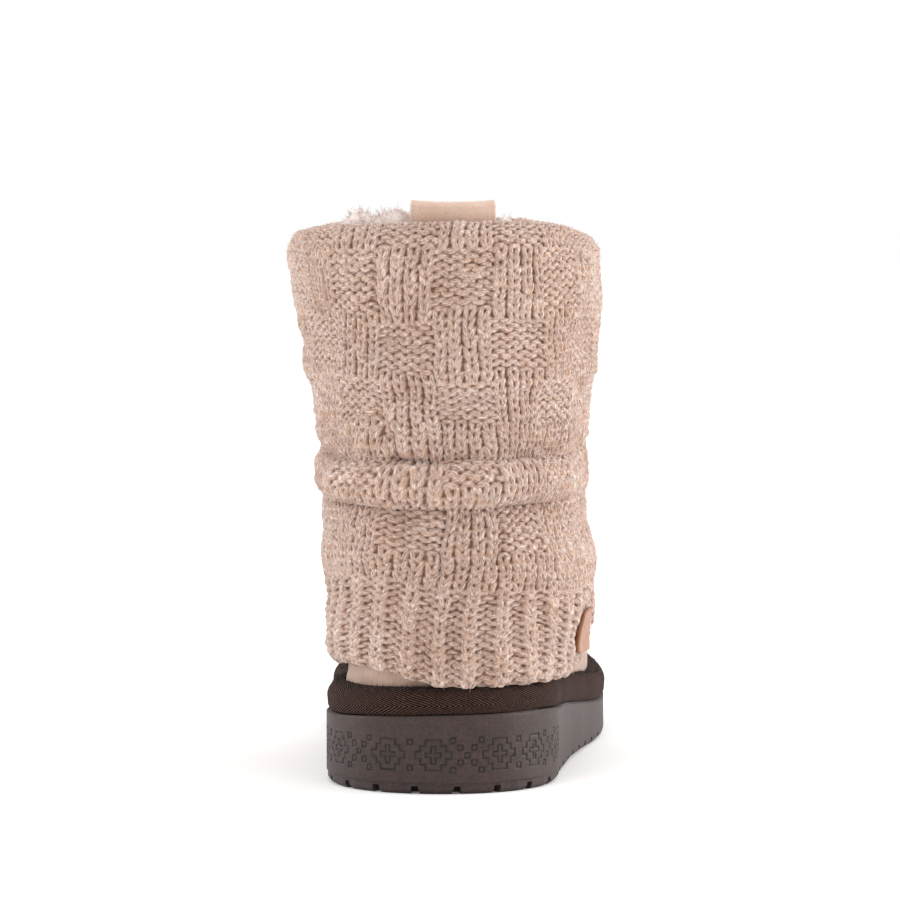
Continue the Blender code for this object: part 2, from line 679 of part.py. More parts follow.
def main():
    for item in list(bpy.data.objects):
        bpy.data.objects.remove(item)
    pieces = bpy.data.collections.new("sweater_boot")
    cutters = bpy.data.collections.new("cutters")
    for collection in (pieces, cutters):
        bpy.context.scene.collection.children.link(collection)
    even = Last(even_shares(LAST_COLUMNS))
    sleeve_shares = upright_shares(SLEEVE_COLUMNS)
    outsole(pieces, cutters)
    foxing_tape(pieces)
    insole(even, pieces)
    upper(even, pieces)
    knit_sleeve(Last(sleeve_shares), sleeve_shares, pieces)
    fur_collar(pieces)
    pull_loop(pieces)
    leather_patch(pieces)


main()
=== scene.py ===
import itertools
import math

import bpy
import numpy as np
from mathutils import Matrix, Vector


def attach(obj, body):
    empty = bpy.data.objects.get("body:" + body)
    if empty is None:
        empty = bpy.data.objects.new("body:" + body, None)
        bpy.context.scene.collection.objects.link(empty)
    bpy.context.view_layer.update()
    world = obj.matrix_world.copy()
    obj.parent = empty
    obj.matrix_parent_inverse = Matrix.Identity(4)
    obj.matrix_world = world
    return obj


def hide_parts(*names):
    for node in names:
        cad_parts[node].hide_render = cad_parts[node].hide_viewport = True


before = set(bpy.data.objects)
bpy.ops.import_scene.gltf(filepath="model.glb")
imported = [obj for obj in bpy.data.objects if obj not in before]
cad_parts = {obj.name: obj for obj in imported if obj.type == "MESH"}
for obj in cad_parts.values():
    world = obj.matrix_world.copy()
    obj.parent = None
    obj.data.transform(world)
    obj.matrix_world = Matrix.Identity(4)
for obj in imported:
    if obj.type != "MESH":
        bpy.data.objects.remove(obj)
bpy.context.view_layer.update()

# Looks of the ankle-height sweater boot: knitted sleeve, pile lining, suede foot, twill tape,
# rubber sole, strap and patch. Metres, toe to +Y, outer side +X, floor at 0. Every surface is
# worked out on the last, the form that the boot is made on, from the same sizes as the frame.
chance = np.random.default_rng(7)
MM = 0.001

# Sizes of the boot
LAST_LENGTH = 0.264
BALL_WIDTH = 0.0893
HEEL_WIDTH = 0.067
INSTEP_HEIGHT = 0.069
TOE_SWING = 0.003
HEEL_SWING = 0.002
HEEL_TO_BACK = 0.032
HEEL_SPAN = (0.15, 0.45)
TOE_SPAN = (0.45, 1.0)
COLLAR_HEIGHT = 0.1864
SHAFT_WIDTH = 0.0975
SHAFT_DEPTH = 0.118
UPPER_WALL = 0.0022
SOLE_MARGIN = 0.006
HEEL_THICKNESS = 0.0245
FOREFOOT_THICKNESS = 0.0135
TOE_SPRING = 0.009
TOE_SPRING_START = 0.74
WEDGE_SPAN = (0.12, 0.70)
TAPE_HEIGHT = 0.010
TAPE_PROUD = 0.0004
TAPE_SHOULDER = 0.42
TAPE_TURNS = (1.45, 0.1)
INSOLE_THICKNESS = 0.004
KNIT_WALL = 0.004
HEM_FRONT = 0.062
TUCK_HEIGHT = 0.103
TUCK_FRONT_RISE = 0.016
SLOUCH = 0.003
FUR_DEPTH = 0.007
LOOP_WIDTH = 0.029
LOOP_TO_SIDE = 0.003
LOOP_TOP = 0.1989
STRAP_THICKNESS = 0.0014
STRAP_FOLD = 0.0013
PATCH_LENGTH = 0.036
PATCH_HEIGHT = 0.015
PATCH_ABOVE_HEM = 0.0065
PATCH_FORWARD = 0.068
GAP = 0.0003
FACET_GAP = 0.0005
CAP_POWER = 2.2
RING_STEPS = 241


def table(columns, rows):
    """Columns of a table by name, each as an array."""
    return dict(zip(columns, np.array(rows, dtype=float).T))


# Outline of the foot, from back to toe: half-widths as shares of the ball's width
OUTLINE = table(("along", "rear", "lateral", "medial"), (
    (0.00, 1.00, 0.400, 0.320),
    (0.15, 1.00, 0.400, 0.320),
    (0.30, 0.55, 0.405, 0.330),
    (0.45, 0.20, 0.440, 0.380),
    (0.62, 0.00, 0.493, 0.445),
    (0.72, 0.00, 0.504, 0.482),
    (0.85, 0.00, 0.497, 0.488),
    (1.00, 0.00, 0.450, 0.460),
))
# Rings of the last, from the feather line to the collar
RINGS = table(("instep", "shaft", "follow", "back", "forward", "heel_cap", "toe_cap", "foot",
               "lateral", "medial"), (
    (0.000, 0.000, 1.00, 0.000, 1.000, 0.15, 0.27, 1.00, 0.880, 0.770),
    (0.145, 0.000, 1.00, 0.000, 1.000, 0.15, 0.27, 1.00, 0.880, 0.770),
    (0.230, 0.000, 0.98, -0.012, 0.995, 0.16, 0.29, 0.97, 0.885, 0.775),
    (0.330, 0.000, 0.92, -0.020, 0.980, 0.18, 0.34, 0.85, 0.885, 0.780),
    (0.440, 0.000, 0.82, -0.020, 0.930, 0.21, 0.46, 0.60, 0.885, 0.785),
    (0.540, 0.000, 0.70, -0.012, 0.835, 0.24, 0.62, 0.35, 0.880, 0.790),
    (0.630, 0.000, 0.58, 0.000, 0.700, 0.28, 0.68, 0.15, 0.870, 0.800),
    (0.720, 0.000, 0.46, 0.012, 0.540, 0.32, 0.66, 0.05, 0.865, 0.808),
    (0.830, 0.000, 0.34, 0.025, 0.360, 0.37, 0.62, 0.00, 0.860, 0.815),
    (1.000, 0.000, 0.18, 0.042, 0.165, 0.43, 0.56, 0.00, 0.850, 0.830),
    (1.000, 0.130, 0.07, 0.055, 0.065, 0.48, 0.52, 0.00, 0.850, 0.850),
    (1.000, 0.300, 0.00, 0.060, 0.018, 0.50, 0.50, 0.00, 0.880, 0.890),
    (1.000, 0.500, 0.00, 0.050, 0.002, 0.50, 0.50, 0.00, 0.930, 0.960),
    (1.000, 0.750, 0.00, 0.030, 0.000, 0.50, 0.50, 0.00, 0.940, 1.020),
    (1.000, 1.000, 0.00, 0.015, 0.000, 0.50, 0.50, 0.00, 0.944, 1.056),
))
# How loosely the sleeve lies, against its place from hem (0) over tuck (1) to rim (2)
LOOSE = table(("place", "loose"), (
    (0.00, 0.10),
    (0.06, 0.35),
    (0.30, 0.60),
    (0.50, 0.95),
    (0.70, 0.75),
    (0.88, 0.10),
    (1.00, 0.30),
    (1.12, 0.15),
    (1.22, 0.30),
    (1.36, 0.50),
    (1.44, 1.00),
    (1.62, 0.55),
    (1.80, 0.70),
    (1.92, 0.60),
    (2.00, 0.15),
))
SOLE_LENGTH = LAST_LENGTH + 2.0 * SOLE_MARGIN
SOLE_BACK = -HEEL_TO_BACK - SOLE_MARGIN
SEAT_HEIGHT = HEEL_THICKNESS + GAP
COLLAR_RISE = COLLAR_HEIGHT - SEAT_HEIGHT
RING_HEIGHTS = RINGS["instep"] * INSTEP_HEIGHT + RINGS["shaft"] * (COLLAR_RISE - INSTEP_HEIGHT)


def smooth(places, stations, values):
    """Smooth curve through the stations that never overshoots them (monotone cubic)."""
    steps = np.diff(stations)
    slopes = np.diff(values) / steps
    total = slopes[:-1] + slopes[1:]
    same = slopes[:-1] * slopes[1:] > 0.0
    inner = np.where(same, 2.0 * slopes[:-1] * slopes[1:] / np.where(same, total, 1.0), 0.0)
    tangents = np.concatenate([slopes[:1], inner, slopes[-1:]])
    places = np.clip(places, stations[0], stations[-1])
    left = np.clip(np.searchsorted(stations, places, side="right") - 1, 0, len(steps) - 1)
    step = steps[left]
    t = (places - stations[left]) / step
    return ((2.0 * t ** 3 - 3.0 * t ** 2 + 1.0) * values[left]
            + (t ** 3 - 2.0 * t ** 2 + t) * step * tangents[left]
            + (3.0 * t ** 2 - 2.0 * t ** 3) * values[left + 1]
            + (t ** 3 - t ** 2) * step * tangents[left + 1])


def look_up(rows, column, places):
    """Smooth curve of one column of a table against its first column."""
    return smooth(places, next(iter(rows.values())), rows[column])


def ease(places, start, end):
    """0 before the start, 1 past the end, and a soft S between."""
    t = np.clip((places - start) / (end - start), 0.0, 1.0)
    return t * t * (3.0 - 2.0 * t)


def within(places, start, full, easing, end):
    """1 between full and easing, falling softly to 0 at the start and at the end."""
    return ease(places, start, full) * (1.0 - ease(places, easing, end))


def lengths_along(x, y):
    """Length of a plane line from its first point to each of its points."""
    return np.concatenate([[0.0], np.cumsum(np.hypot(np.diff(x), np.diff(y)))])


def bell(distance):
    """Soft hump of height 1 and width about 1: e to the minus square of the distance."""
    return np.exp(-np.square(distance))


def ripple(x, y, count, reach, seed):
    """Gentle unevenness between about -1 and 1: a sum of plane waves with chosen reach."""
    draw = np.random.default_rng(seed)
    total = 0.0
    for _ in range(count):
        heading, phase = draw.uniform(0.0, 2.0 * math.pi, 2)
        rate = 2.0 * math.pi / reach * draw.uniform(0.6, 1.5)
        total = total + np.cos(rate * (x * math.cos(heading) + y * math.sin(heading)) + phase)
    return total / math.sqrt(count)


def toe_lift(y):
    """Rise of the sole towards the toe's tip."""
    spring = ((y - SOLE_BACK) / SOLE_LENGTH - TOE_SPRING_START) / (1.0 - TOE_SPRING_START)
    return TOE_SPRING * np.clip(spring, 0.0, None) ** 2


def sole_top(y):
    """Top of the wedge: heel thickness easing into the forefoot's, with the toe spring."""
    wedge = ease((y - SOLE_BACK) / SOLE_LENGTH, *WEDGE_SPAN)
    return HEEL_THICKNESS - (HEEL_THICKNESS - FOREFOOT_THICKNESS) * wedge + toe_lift(y)


def feather(y):
    """Height of the feather line, on which upper and tape stand."""
    return sole_top(y) + GAP


def foot_half(along, side):
    """Half-width of the feather line on one side, before its ends are rounded."""
    rear = look_up(OUTLINE, "rear", along)
    fore = look_up(OUTLINE, side, along)
    return rear * HEEL_WIDTH / 2.0 + (1.0 - rear) * BALL_WIDTH * fore


def end_cap(share):
    """Rounding of a ring's end: 0 at its tip, 1 where the cap is over."""
    return (1.0 - (1.0 - np.clip(share, 0.0, 1.0)) ** CAP_POWER) ** (1.0 / CAP_POWER)


def ring_half(height, side):
    """Half ring of the last at one height, back to front, and its length along it."""
    row = {name: smooth(height, RING_HEIGHTS, column) for name, column in RINGS.items()}
    back = -HEEL_TO_BACK + row["back"] * HEEL_WIDTH
    front = SHAFT_DEPTH - HEEL_TO_BACK + row["forward"] * (LAST_LENGTH - SHAFT_DEPTH)
    along = 0.5 - 0.5 * np.cos(np.linspace(0.0, math.pi, RING_STEPS))
    half = row["foot"] * foot_half(along, side) + (1.0 - row["foot"]) * row[side] * SHAFT_WIDTH / 2.0
    half = half * end_cap(along / row["heel_cap"]) * end_cap((1.0 - along) / row["toe_cap"])
    y = back + along * (front - back)
    swing = HEEL_SWING * (1.0 - ease(along, *HEEL_SPAN)) + TOE_SWING * ease(along, *TOE_SPAN)
    x = half * (1.0 if side == "lateral" else -1.0) - swing * row["foot"]
    z = SEAT_HEIGHT + height + row["follow"] * (feather(y) - SEAT_HEIGHT)
    return np.column_stack([x, y, z]), lengths_along(x, y)


COLLAR_HALF = {side: ring_half(COLLAR_RISE, side)[1][-1] for side in ("lateral", "medial")}


def last_ring(height, shares):
    """Points of the last's ring at one height. A share is 0 at the middle of the back and 1
    or -1 at the middle of the front; plus is the lateral side."""
    ring = np.zeros((len(shares), 3))
    for side, chosen in (("lateral", shares >= 0.0), ("medial", shares < 0.0)):
        points, lengths = ring_half(height, side)
        place = np.abs(shares[chosen])
        wanted = place * COLLAR_HALF[side] + (lengths[-1] - COLLAR_HALF[side]) * place ** 2
        for axis in range(3):
            ring[chosen, axis] = np.interp(wanted, lengths, points[:, axis])
    return ring


def unit(vectors):
    """The same directions with length 1."""
    return vectors / np.maximum(np.linalg.norm(vectors, axis=-1, keepdims=True), 1e-12)


FACE_SHARES = np.linspace(-1.0, 1.0, 961)
FACE_LEVELS = np.linspace(0.0, COLLAR_RISE, 121)
FACE_POINTS = np.array([last_ring(level, FACE_SHARES) for level in FACE_LEVELS])
face_across = np.gradient(FACE_POINTS, axis=1)
face_across[:, 0] = face_across[:, -1] = FACE_POINTS[:, 1] - FACE_POINTS[:, -2]
face_upward = np.gradient(FACE_POINTS, axis=0)
face_upward[0] = (0.0, 0.0, 1.0)
FACE_NORMALS = unit(np.cross(face_across, face_upward))


def between(values, row, column):
    """Straight blend between the four nearest points of a grid."""
    low = np.minimum(row.astype(int), len(values) - 2)
    left = np.minimum(column.astype(int), values.shape[1] - 2)
    up, over = row - low, column - left
    if values.ndim > 2:
        up, over = up[..., None], over[..., None]
    lower = values[low, left] * (1.0 - over) + values[low, left + 1] * over
    upper = values[low + 1, left] * (1.0 - over) + values[low + 1, left + 1] * over
    return lower * (1.0 - up) + upper * up


def on_last(shares, heights, offset):
    """Points on the last at shares and heights above the feather line, moved out along the
    normals by the offset. Above the collar they run straight up."""
    shares, heights, offset = np.broadcast_arrays(shares, heights, offset)
    column = np.mod(shares + 1.0, 2.0) / 2.0 * (len(FACE_SHARES) - 1)
    row = np.clip(heights, 0.0, COLLAR_RISE) / COLLAR_RISE * (len(FACE_LEVELS) - 1)
    points, normals = (between(face, row, column) for face in (FACE_POINTS, FACE_NORMALS))
    points = points + unit(normals) * offset[..., None]
    points[..., 2] += np.maximum(heights - COLLAR_RISE, 0.0)
    return points


def turned(shares):
    """The same shares from -1 to 1, when a place runs on past the front."""
    return np.mod(shares + 1.0, 2.0) - 1.0


def grid_normals(points, closed):
    """Outward unit normals of a grid, from the differences to its neighbours."""
    if closed:
        across = np.roll(points, -1, axis=1) - np.roll(points, 1, axis=1)
    else:
        across = np.gradient(points, axis=1)
    return unit(np.cross(across, np.gradient(points, axis=0)))


def linear(code):
    """Linear RGBA of an sRGB hex colour."""
    parts = [int(code[place:place + 2], 16) / 255.0 for place in (1, 3, 5)]
    return tuple(part / 12.92 if part <= 0.04045 else ((part + 0.055) / 1.055) ** 2.4
                 for part in parts) + (1.0,)


def node(tree, kind, links=(), stops=(), **settings):
    """One node with its settings, its socket values or links, and a ramp's colour stops."""
    made = tree.nodes.new(kind)
    for key, value in settings.items():
        setattr(made, key, value)
    for key, value in dict(links).items():
        if isinstance(value, bpy.types.NodeSocket):
            tree.links.new(value, made.inputs[key])
        else:
            made.inputs[key].default_value = value
    for index, (place, colour) in enumerate(stops):
        if index < 2:
            stop = made.color_ramp.elements[index]
            stop.position = place
        else:
            stop = made.color_ramp.elements.new(place)
        stop.color = linear(colour)
    return made


def reckon(tree, operation, *values):
    """Output of a Math node."""
    return node(tree, "ShaderNodeMath", dict(enumerate(values)), operation=operation).outputs[0]


def mean(tree, first, second):
    """Output that is half the sum of two."""
    return reckon(tree, "MULTIPLY", reckon(tree, "ADD", first, second), 0.5)


def remap(tree, value, low, high, top):
    """Output that is 0 at one value and the top at the other."""
    return node(tree, "ShaderNodeMapRange", {"Value": value, "From Min": low, "From Max": high,
                                             "To Max": top}).outputs[0]


def noise(tree, place, scale, **sockets):
    """Output of a noise texture."""
    return node(tree, "ShaderNodeTexNoise", {"Vector": place, "Scale": scale, **sockets}).outputs[0]


def mapped(tree, place, **sockets):
    """Place scaled and moved."""
    return node(tree, "ShaderNodeMapping", {"Vector": place, **sockets}).outputs[0]


def ramp(tree, value, *stops):
    """Colour of a ramp at a value."""
    return node(tree, "ShaderNodeValToRGB", {"Fac": value}, stops=stops).outputs[0]


def laid_over(tree, factor, under, over, blend="MIX"):
    """Colour of one colour laid over another."""
    return node(tree, "ShaderNodeMix", {"Factor": factor, 6: under, 7: over}, data_type="RGBA",
                blend_type=blend).outputs[2]


def kept(tree, name, output="Vector"):
    """Values that a piece keeps on its points."""
    return node(tree, "ShaderNodeAttribute", attribute_name=name).outputs[output]


def start_finish(name, **sockets):
    """Material with a Principled shader whose constant sockets are set, its tree and the
    place in the boot."""
    finish = bpy.data.materials.new(name)
    finish.use_nodes = True
    tree = finish.node_tree
    shader = tree.nodes["Principled BSDF"]
    for key, value in sockets.items():
        shader.inputs[key.replace("_", " ")].default_value = value
    return finish, tree, shader, node(tree, "ShaderNodeTexCoord").outputs["Object"]


def dress(tree, shader, colour, height, strength, distance):
    """Colour and relief of a surface, with the relief's distance in mm."""
    tree.links.new(colour, shader.inputs["Base Color"])
    bump = node(tree, "ShaderNodeBump", {"Height": height, "Strength": strength,
                                         "Distance": distance * MM})
    tree.links.new(bump.outputs[0], shader.inputs["Normal"])


def piece(name, points, faces, finish, replaced=(), values=(), normals=None):
    """Object for a mesh given as arrays of points and of faces with equal corner counts. Its
    named values are kept on the points for the material to read."""
    mesh = bpy.data.meshes.new(name)
    corners = faces.shape[1]
    mesh.vertices.add(len(points))
    mesh.vertices.foreach_set("co", points.astype(np.float32).ravel())
    mesh.loops.add(faces.size)
    mesh.loops.foreach_set("vertex_index", faces.astype(np.int32).ravel())
    mesh.polygons.add(len(faces))
    mesh.polygons.foreach_set("loop_start", np.arange(len(faces), dtype=np.int32) * corners)
    mesh.update(calc_edges=True)
    for key, value in dict(values).items():
        wide = value.ndim == 2
        layer = mesh.attributes.new(key, "FLOAT_VECTOR" if wide else "FLOAT", "POINT")
        layer.data.foreach_set("vector" if wide else "value", value.astype(np.float32).ravel())
    mesh.shade_smooth()
    if normals is not None:
        mesh.normals_split_custom_set_from_vertices(normals.tolist())
    mesh.materials.append(finish)
    made = bpy.data.objects.new(name, mesh)
    bpy.context.scene.collection.objects.link(made)
    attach(made, "root")
    if replaced:
        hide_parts(*replaced)
    return made


def grid_faces(rows, columns, closed):
    """Four corners of each cell of a grid; a closed grid joins its last column to its first."""
    cells = columns if closed else columns - 1
    row, column = np.meshgrid(np.arange(rows - 1), np.arange(cells), indexing="ij")
    after = (column + 1) % columns
    return np.stack([row * columns + column, row * columns + after,
                     (row + 1) * columns + after, (row + 1) * columns + column],
                    axis=-1).reshape(-1, 4)


def sheet(name, points, finish, closed=True, replaced=(), values=(), normals=None):
    """Piece for a grid of points, rows upwards and columns towards the lateral side."""
    rows, columns = points.shape[:2]
    flat = {key: value.reshape(rows * columns, -1) if value.ndim == 3 else value.ravel()
            for key, value in dict(values).items()}
    return piece(name, points.reshape(-1, 3), grid_faces(rows, columns, closed), finish,
                 replaced, flat, None if normals is None else normals.reshape(-1, 3))


# The knit's gauge, counted on the boot: 80 stitches round and 2.9 mm a course. A course is a
# row of stitches; place is its share of the way from hem to tuck and on to the rim. The tuck
# turns between two angles in degrees; the rim rolls over from its outer side to its inner one.
STITCHES = 80
STITCH = 4.35 * MM
COURSE = 2.9 * MM
RIB_TOP = 12
TUCK_START = 22
TUCK_END = 28
RIM_START = 52
RIM_CREST = 57
COURSES = 59
POINTS_ACROSS = 9
POINTS_UP = 6
BLOCK = 4
BLOCK_SHIFT = 0.0086
YARN_RELIEF = 1.6 * MM
RIB_RELIEF = 0.9 * MM
BLOCK_RELIEF = 0.8 * MM
TUCK_BULGE = 4.3 * MM
TUCK_TURN = (-108.0, 96.0)
RIM_TOP = 191.0 * MM
RIM_OUT = 1.0 * MM
RIM_IN = 3.2 * MM
RIM_DOWN = 4.4 * MM
SHAFT_SPLIT = 44
LOOSE_FIBRES = 38000
PILE_LOCKS = 17000
TAPE_THREADS = 5000

# Blocks above the ribs, by courses: plain (V) or purl (P) in the even and in the odd columns
# of blocks, which are four stitches wide.
BLOCK_ROWS = (
    (12, 16, "V", "V"),
    (16, 22, "V", "P"),
    (22, 25, "V", "V"),
    (25, 28, "P", "V"),
    (28, 33, "V", "V"),
    (33, 38, "P", "V"),
    (38, 39, "V", "V"),
    (39, 45, "V", "P"),
    (45, 46, "V", "V"),
    (46, 53, "P", "V"),
    (53, 56, "V", "P"),
    (56, 59, "V", "V"),
)


def stitch_chart():
    """True where a stitch shows its V, by course and stitch: ribs at the hem, blocks above."""
    stitch = np.arange(STITCHES)
    chart = np.zeros((COURSES, STITCHES), dtype=bool)
    chart[:RIB_TOP] = stitch % 2 == 0
    odd = (stitch // BLOCK) % 2 == 1
    for start, end, even_kind, odd_kind in BLOCK_ROWS:
        chart[start:end] = np.where(odd, odd_kind == "V", even_kind == "V")
    return chart


CHART = stitch_chart()
UNEVEN = chance.normal(0.0, 1.0, (4, COURSES, STITCHES)).clip(-2.0, 2.0)


def yarn_relief(u, v):
    """Height of the yarn above the fabric's ground, and a place along the yarn. In its own
    cell a plain stitch has two legs, each a rounded leaf that leans out as it rises; a purl
    stitch has an arch at its middle and a bowl at its border. The highest strand shows."""
    first, below = np.floor(u).astype(int), np.floor(v).astype(int)
    shape = np.broadcast(u, v).shape
    best = np.zeros(shape)
    yarn = np.zeros(shape + (3,))
    for up, over, side in itertools.product((-1, 0, 1), (-1, 0, 1), (-1.0, 0.0, 1.0)):
        stitch = (first + over) % STITCHES
        course = np.clip(below + up, 0, COURSES - 1)
        sway, lift, thick, turn = (layer[course, stitch] for layer in UNEVEN)
        s = u - (first + over) - 0.5 + 0.035 * sway
        t = v - (below + up) + 0.06 * lift
        plain = CHART[course, stitch]
        fat = 1.0 + 0.07 * thick
        leg_across = (s - side * (0.15 + 0.16 * t) - 0.02 * turn) / (0.215 * fat)
        leg_along = (t - 0.47) / 0.80 + (side == 0.0) * 9.0
        arc = s - 0.5 * side
        bow = (0.25 - 0.9 * arc ** 2) if side == 0.0 else (0.75 + 0.9 * arc ** 2)
        purl_across = (t - bow - 0.04 * turn) / (0.33 * fat)
        purl_along = arc / 0.50
        across = np.where(plain, leg_across, purl_across)
        along = np.where(plain, leg_along, purl_along)
        round_over = np.sqrt(np.clip(1.0 - across ** 2, 0.0, None))
        height = round_over ** 1.2 * np.clip(1.0 - along ** 2, 0.0, None) ** 0.6
        height = height * np.where(plain, 1.0, 0.82) * (1.0 + 0.08 * thick)
        shows = height > best
        best = np.where(shows, height, best)
        number = course * 3.7 + stitch * 1.9 + side
        length = np.where(plain, t * COURSE, arc * STITCH * 1.2) / MM
        width = across * 1.05
        for axis, value in enumerate((width, length, number)):
            yarn[..., axis] = np.where(shows, value, yarn[..., axis])
    return best, yarn


def block_swell(u, v):
    """Soft relief of the blocks: the chart blurred over about a stitch, 1 on plain blocks."""
    soft = CHART.astype(float)
    soft[:RIB_TOP] = 0.5
    for _ in range(2):
        soft = (np.roll(soft, 1, axis=1) + 2.0 * soft + np.roll(soft, -1, axis=1)) / 4.0
        padded = np.vstack([soft[:1], soft, soft[-1:]])
        soft = (padded[:-2] + 2.0 * padded[1:-1] + padded[2:]) / 4.0
    row = np.clip(v - 0.5, 0.0, COURSES - 1.001)
    return between(np.hstack([soft, soft[:, :1]]), row, np.mod(u - 0.5, STITCHES))


def rim_droop(shares):
    """How far rim and collar sag at the two sides, most of all at the lateral one."""
    shares = turned(shares)
    lateral = np.where(shares < 0.5, 0.20, 0.30)
    return MM * (5.2 * bell((shares + 0.5) / 0.27) + 7.6 * bell((shares - 0.5) / lateral))


# How far the hem is hitched up, in mm, against the share round the sleeve
HEM = table(("share", "hitch"), (
    (-1.00, 0.0),
    (-0.50, 0.6),
    (-0.36, 2.6),
    (-0.26, 5.8),
    (-0.16, 7.4),
    (-0.10, 6.9),
    (-0.06, 5.6),
    (-0.02, 3.2),
    (0.03, 1.8),
    (0.14, 1.5),
    (0.26, 0.6),
    (0.40, 0.0),
    (1.00, 0.0),
))


def hem_heights(shares):
    """Height of the sleeve's hem on the last: just over the tape at the back, hitched up
    towards the medial side, and up to the instep."""
    back = TAPE_HEIGHT + GAP
    shares = turned(shares)
    hitch = look_up(HEM, "hitch", shares) * MM
    return back + hitch + (HEM_FRONT - back) * ease(np.abs(shares), 0.28, 1.0)


def sleeve_heights(shares, place):
    """Height on the last of one course of the sleeve: 0 hem, 1 tuck, 2 collar."""
    hem = hem_heights(shares)
    tuck = TUCK_HEIGHT - SEAT_HEIGHT + TUCK_FRONT_RISE * turned(shares) ** 2
    return (hem + (tuck - hem) * np.minimum(place, 1.0)
            + (COLLAR_RISE - tuck) * np.maximum(place - 1.0, 0.0))


# Courses against their place, outside the tuck and the rim
PLACE_COURSES = np.array((0.0, 12.0, 22.0, 28.0, 52.0, 57.0))
PLACES = np.array((0.0, 0.47, 0.912, 1.082, 1.922, 2.0))

# How far the sleeve hangs beyond its even form at each side, in mm, against the height above
# the floor in mm
LEAN = table(("height", "medial", "lateral"), (
    (34.0, -2.0, 5.5),
    (41.0, -3.0, 5.0),
    (48.0, -1.6, 3.4),
    (56.0, -1.4, 1.0),
    (66.0, -4.6, -0.8),
    (72.0, -3.4, -0.3),
    (78.0, -2.4, -1.4),
    (84.0, -2.7, -3.6),
    (91.0, -2.0, -3.1),
    (97.0, -1.8, -1.8),
    (102.0, -2.7, -1.5),
    (108.0, -2.6, -3.2),
    (112.0, -4.2, -4.0),
    (118.0, -1.9, -2.1),
    (125.0, -3.6, -2.8),
    (131.0, -3.7, -3.4),
    (143.0, -3.8, -3.6),
    (150.0, -4.8, -2.7),
    (157.0, -2.2, -1.7),
    (164.0, -2.6, -1.2),
    (171.0, -2.6, -1.9),
    (179.0, -1.5, -2.4),
    (192.0, 0.3, -3.5),
))


def sleeve_lean(shares, heights):
    """How far the sleeve hangs beyond its even form at one place."""
    level = (heights + SEAT_HEIGHT) / MM
    medial = look_up(LEAN, "medial", level) * bell((shares + 0.46) / 0.26)
    lateral = look_up(LEAN, "lateral", level) * bell((shares - 0.46) / 0.26)
    return (medial + lateral) * MM


# Creases pressed into the sleeve: where each starts and ends, as stitches from the middle of
# the back and courses from the hem, with its width in stitches and its depth in mm
CREASE_COLUMNS = ("from_stitch", "from_course", "to_stitch", "to_course", "width", "depth")
CREASE_ROWS = (
    (-4.1, 34.0, -3.3, 31.4, 0.5, 1.7),
    (-3.3, 31.4, -3.0, 28.9, 0.5, 1.8),
    (-3.0, 28.9, -0.4, 27.6, 0.5, 1.6),
    (-4.0, 56.0, -4.1, 47.0, 0.4, 1.3),
    (-3.6, 46.8, -2.4, 42.6, 0.6, 1.4),
    (0.0, 44.0, 0.1, 29.5, 0.35, 0.9),
    (4.0, 55.0, 3.9, 47.0, 0.35, 0.8),
    (-2.4, 21.0, -2.4, 15.0, 0.45, 1.2),
    (0.1, 20.5, 0.0, 13.0, 0.35, 0.8),
    (4.2, 20.5, 4.0, 16.0, 0.4, 0.8),
    (-11.5, 29.4, -4.0, 28.3, 1.1, 1.0),
    (-3.0, 28.2, 1.5, 28.6, 0.8, 1.0),
    (6.0, 28.8, 10.5, 29.6, 1.1, 1.3),
    (-12.0, 21.4, -7.0, 21.7, 0.9, 1.0),
    (5.5, 22.3, 9.5, 22.6, 0.9, 0.9),
    (-4.0, 44.6, -0.8, 44.9, 0.8, 0.7),
    (-8.5, 45.5, -5.2, 46.0, 0.8, 0.7),
    (0.4, 45.4, 3.6, 45.6, 0.8, 0.6),
    (4.2, 39.4, 7.6, 38.8, 0.8, 0.6),
    (-13.0, 38.0, -10.0, 36.0, 1.4, 1.2),
    (10.5, 39.0, 13.5, 37.0, 1.4, 1.0),
)


def crease_depth(u, v):
    """Sum of soft troughs, each a bell across its line from one end to the other."""
    x = u - STITCHES / 2.0
    total = 0.0
    for crease in (dict(zip(CREASE_COLUMNS, row)) for row in CREASE_ROWS):
        run = np.array([crease["to_stitch"] - crease["from_stitch"],
                        (crease["to_course"] - crease["from_course"]) * COURSE / STITCH])
        dx = x - crease["from_stitch"]
        dy = (v - crease["from_course"]) * COURSE / STITCH
        share = np.clip((dx * run[0] + dy * run[1]) / (run @ run), 0.0, 1.0)
        away = np.hypot(dx - share * run[0], dy - share * run[1])
        total = total + crease["depth"] * MM * bell(away / crease["width"])
    return total


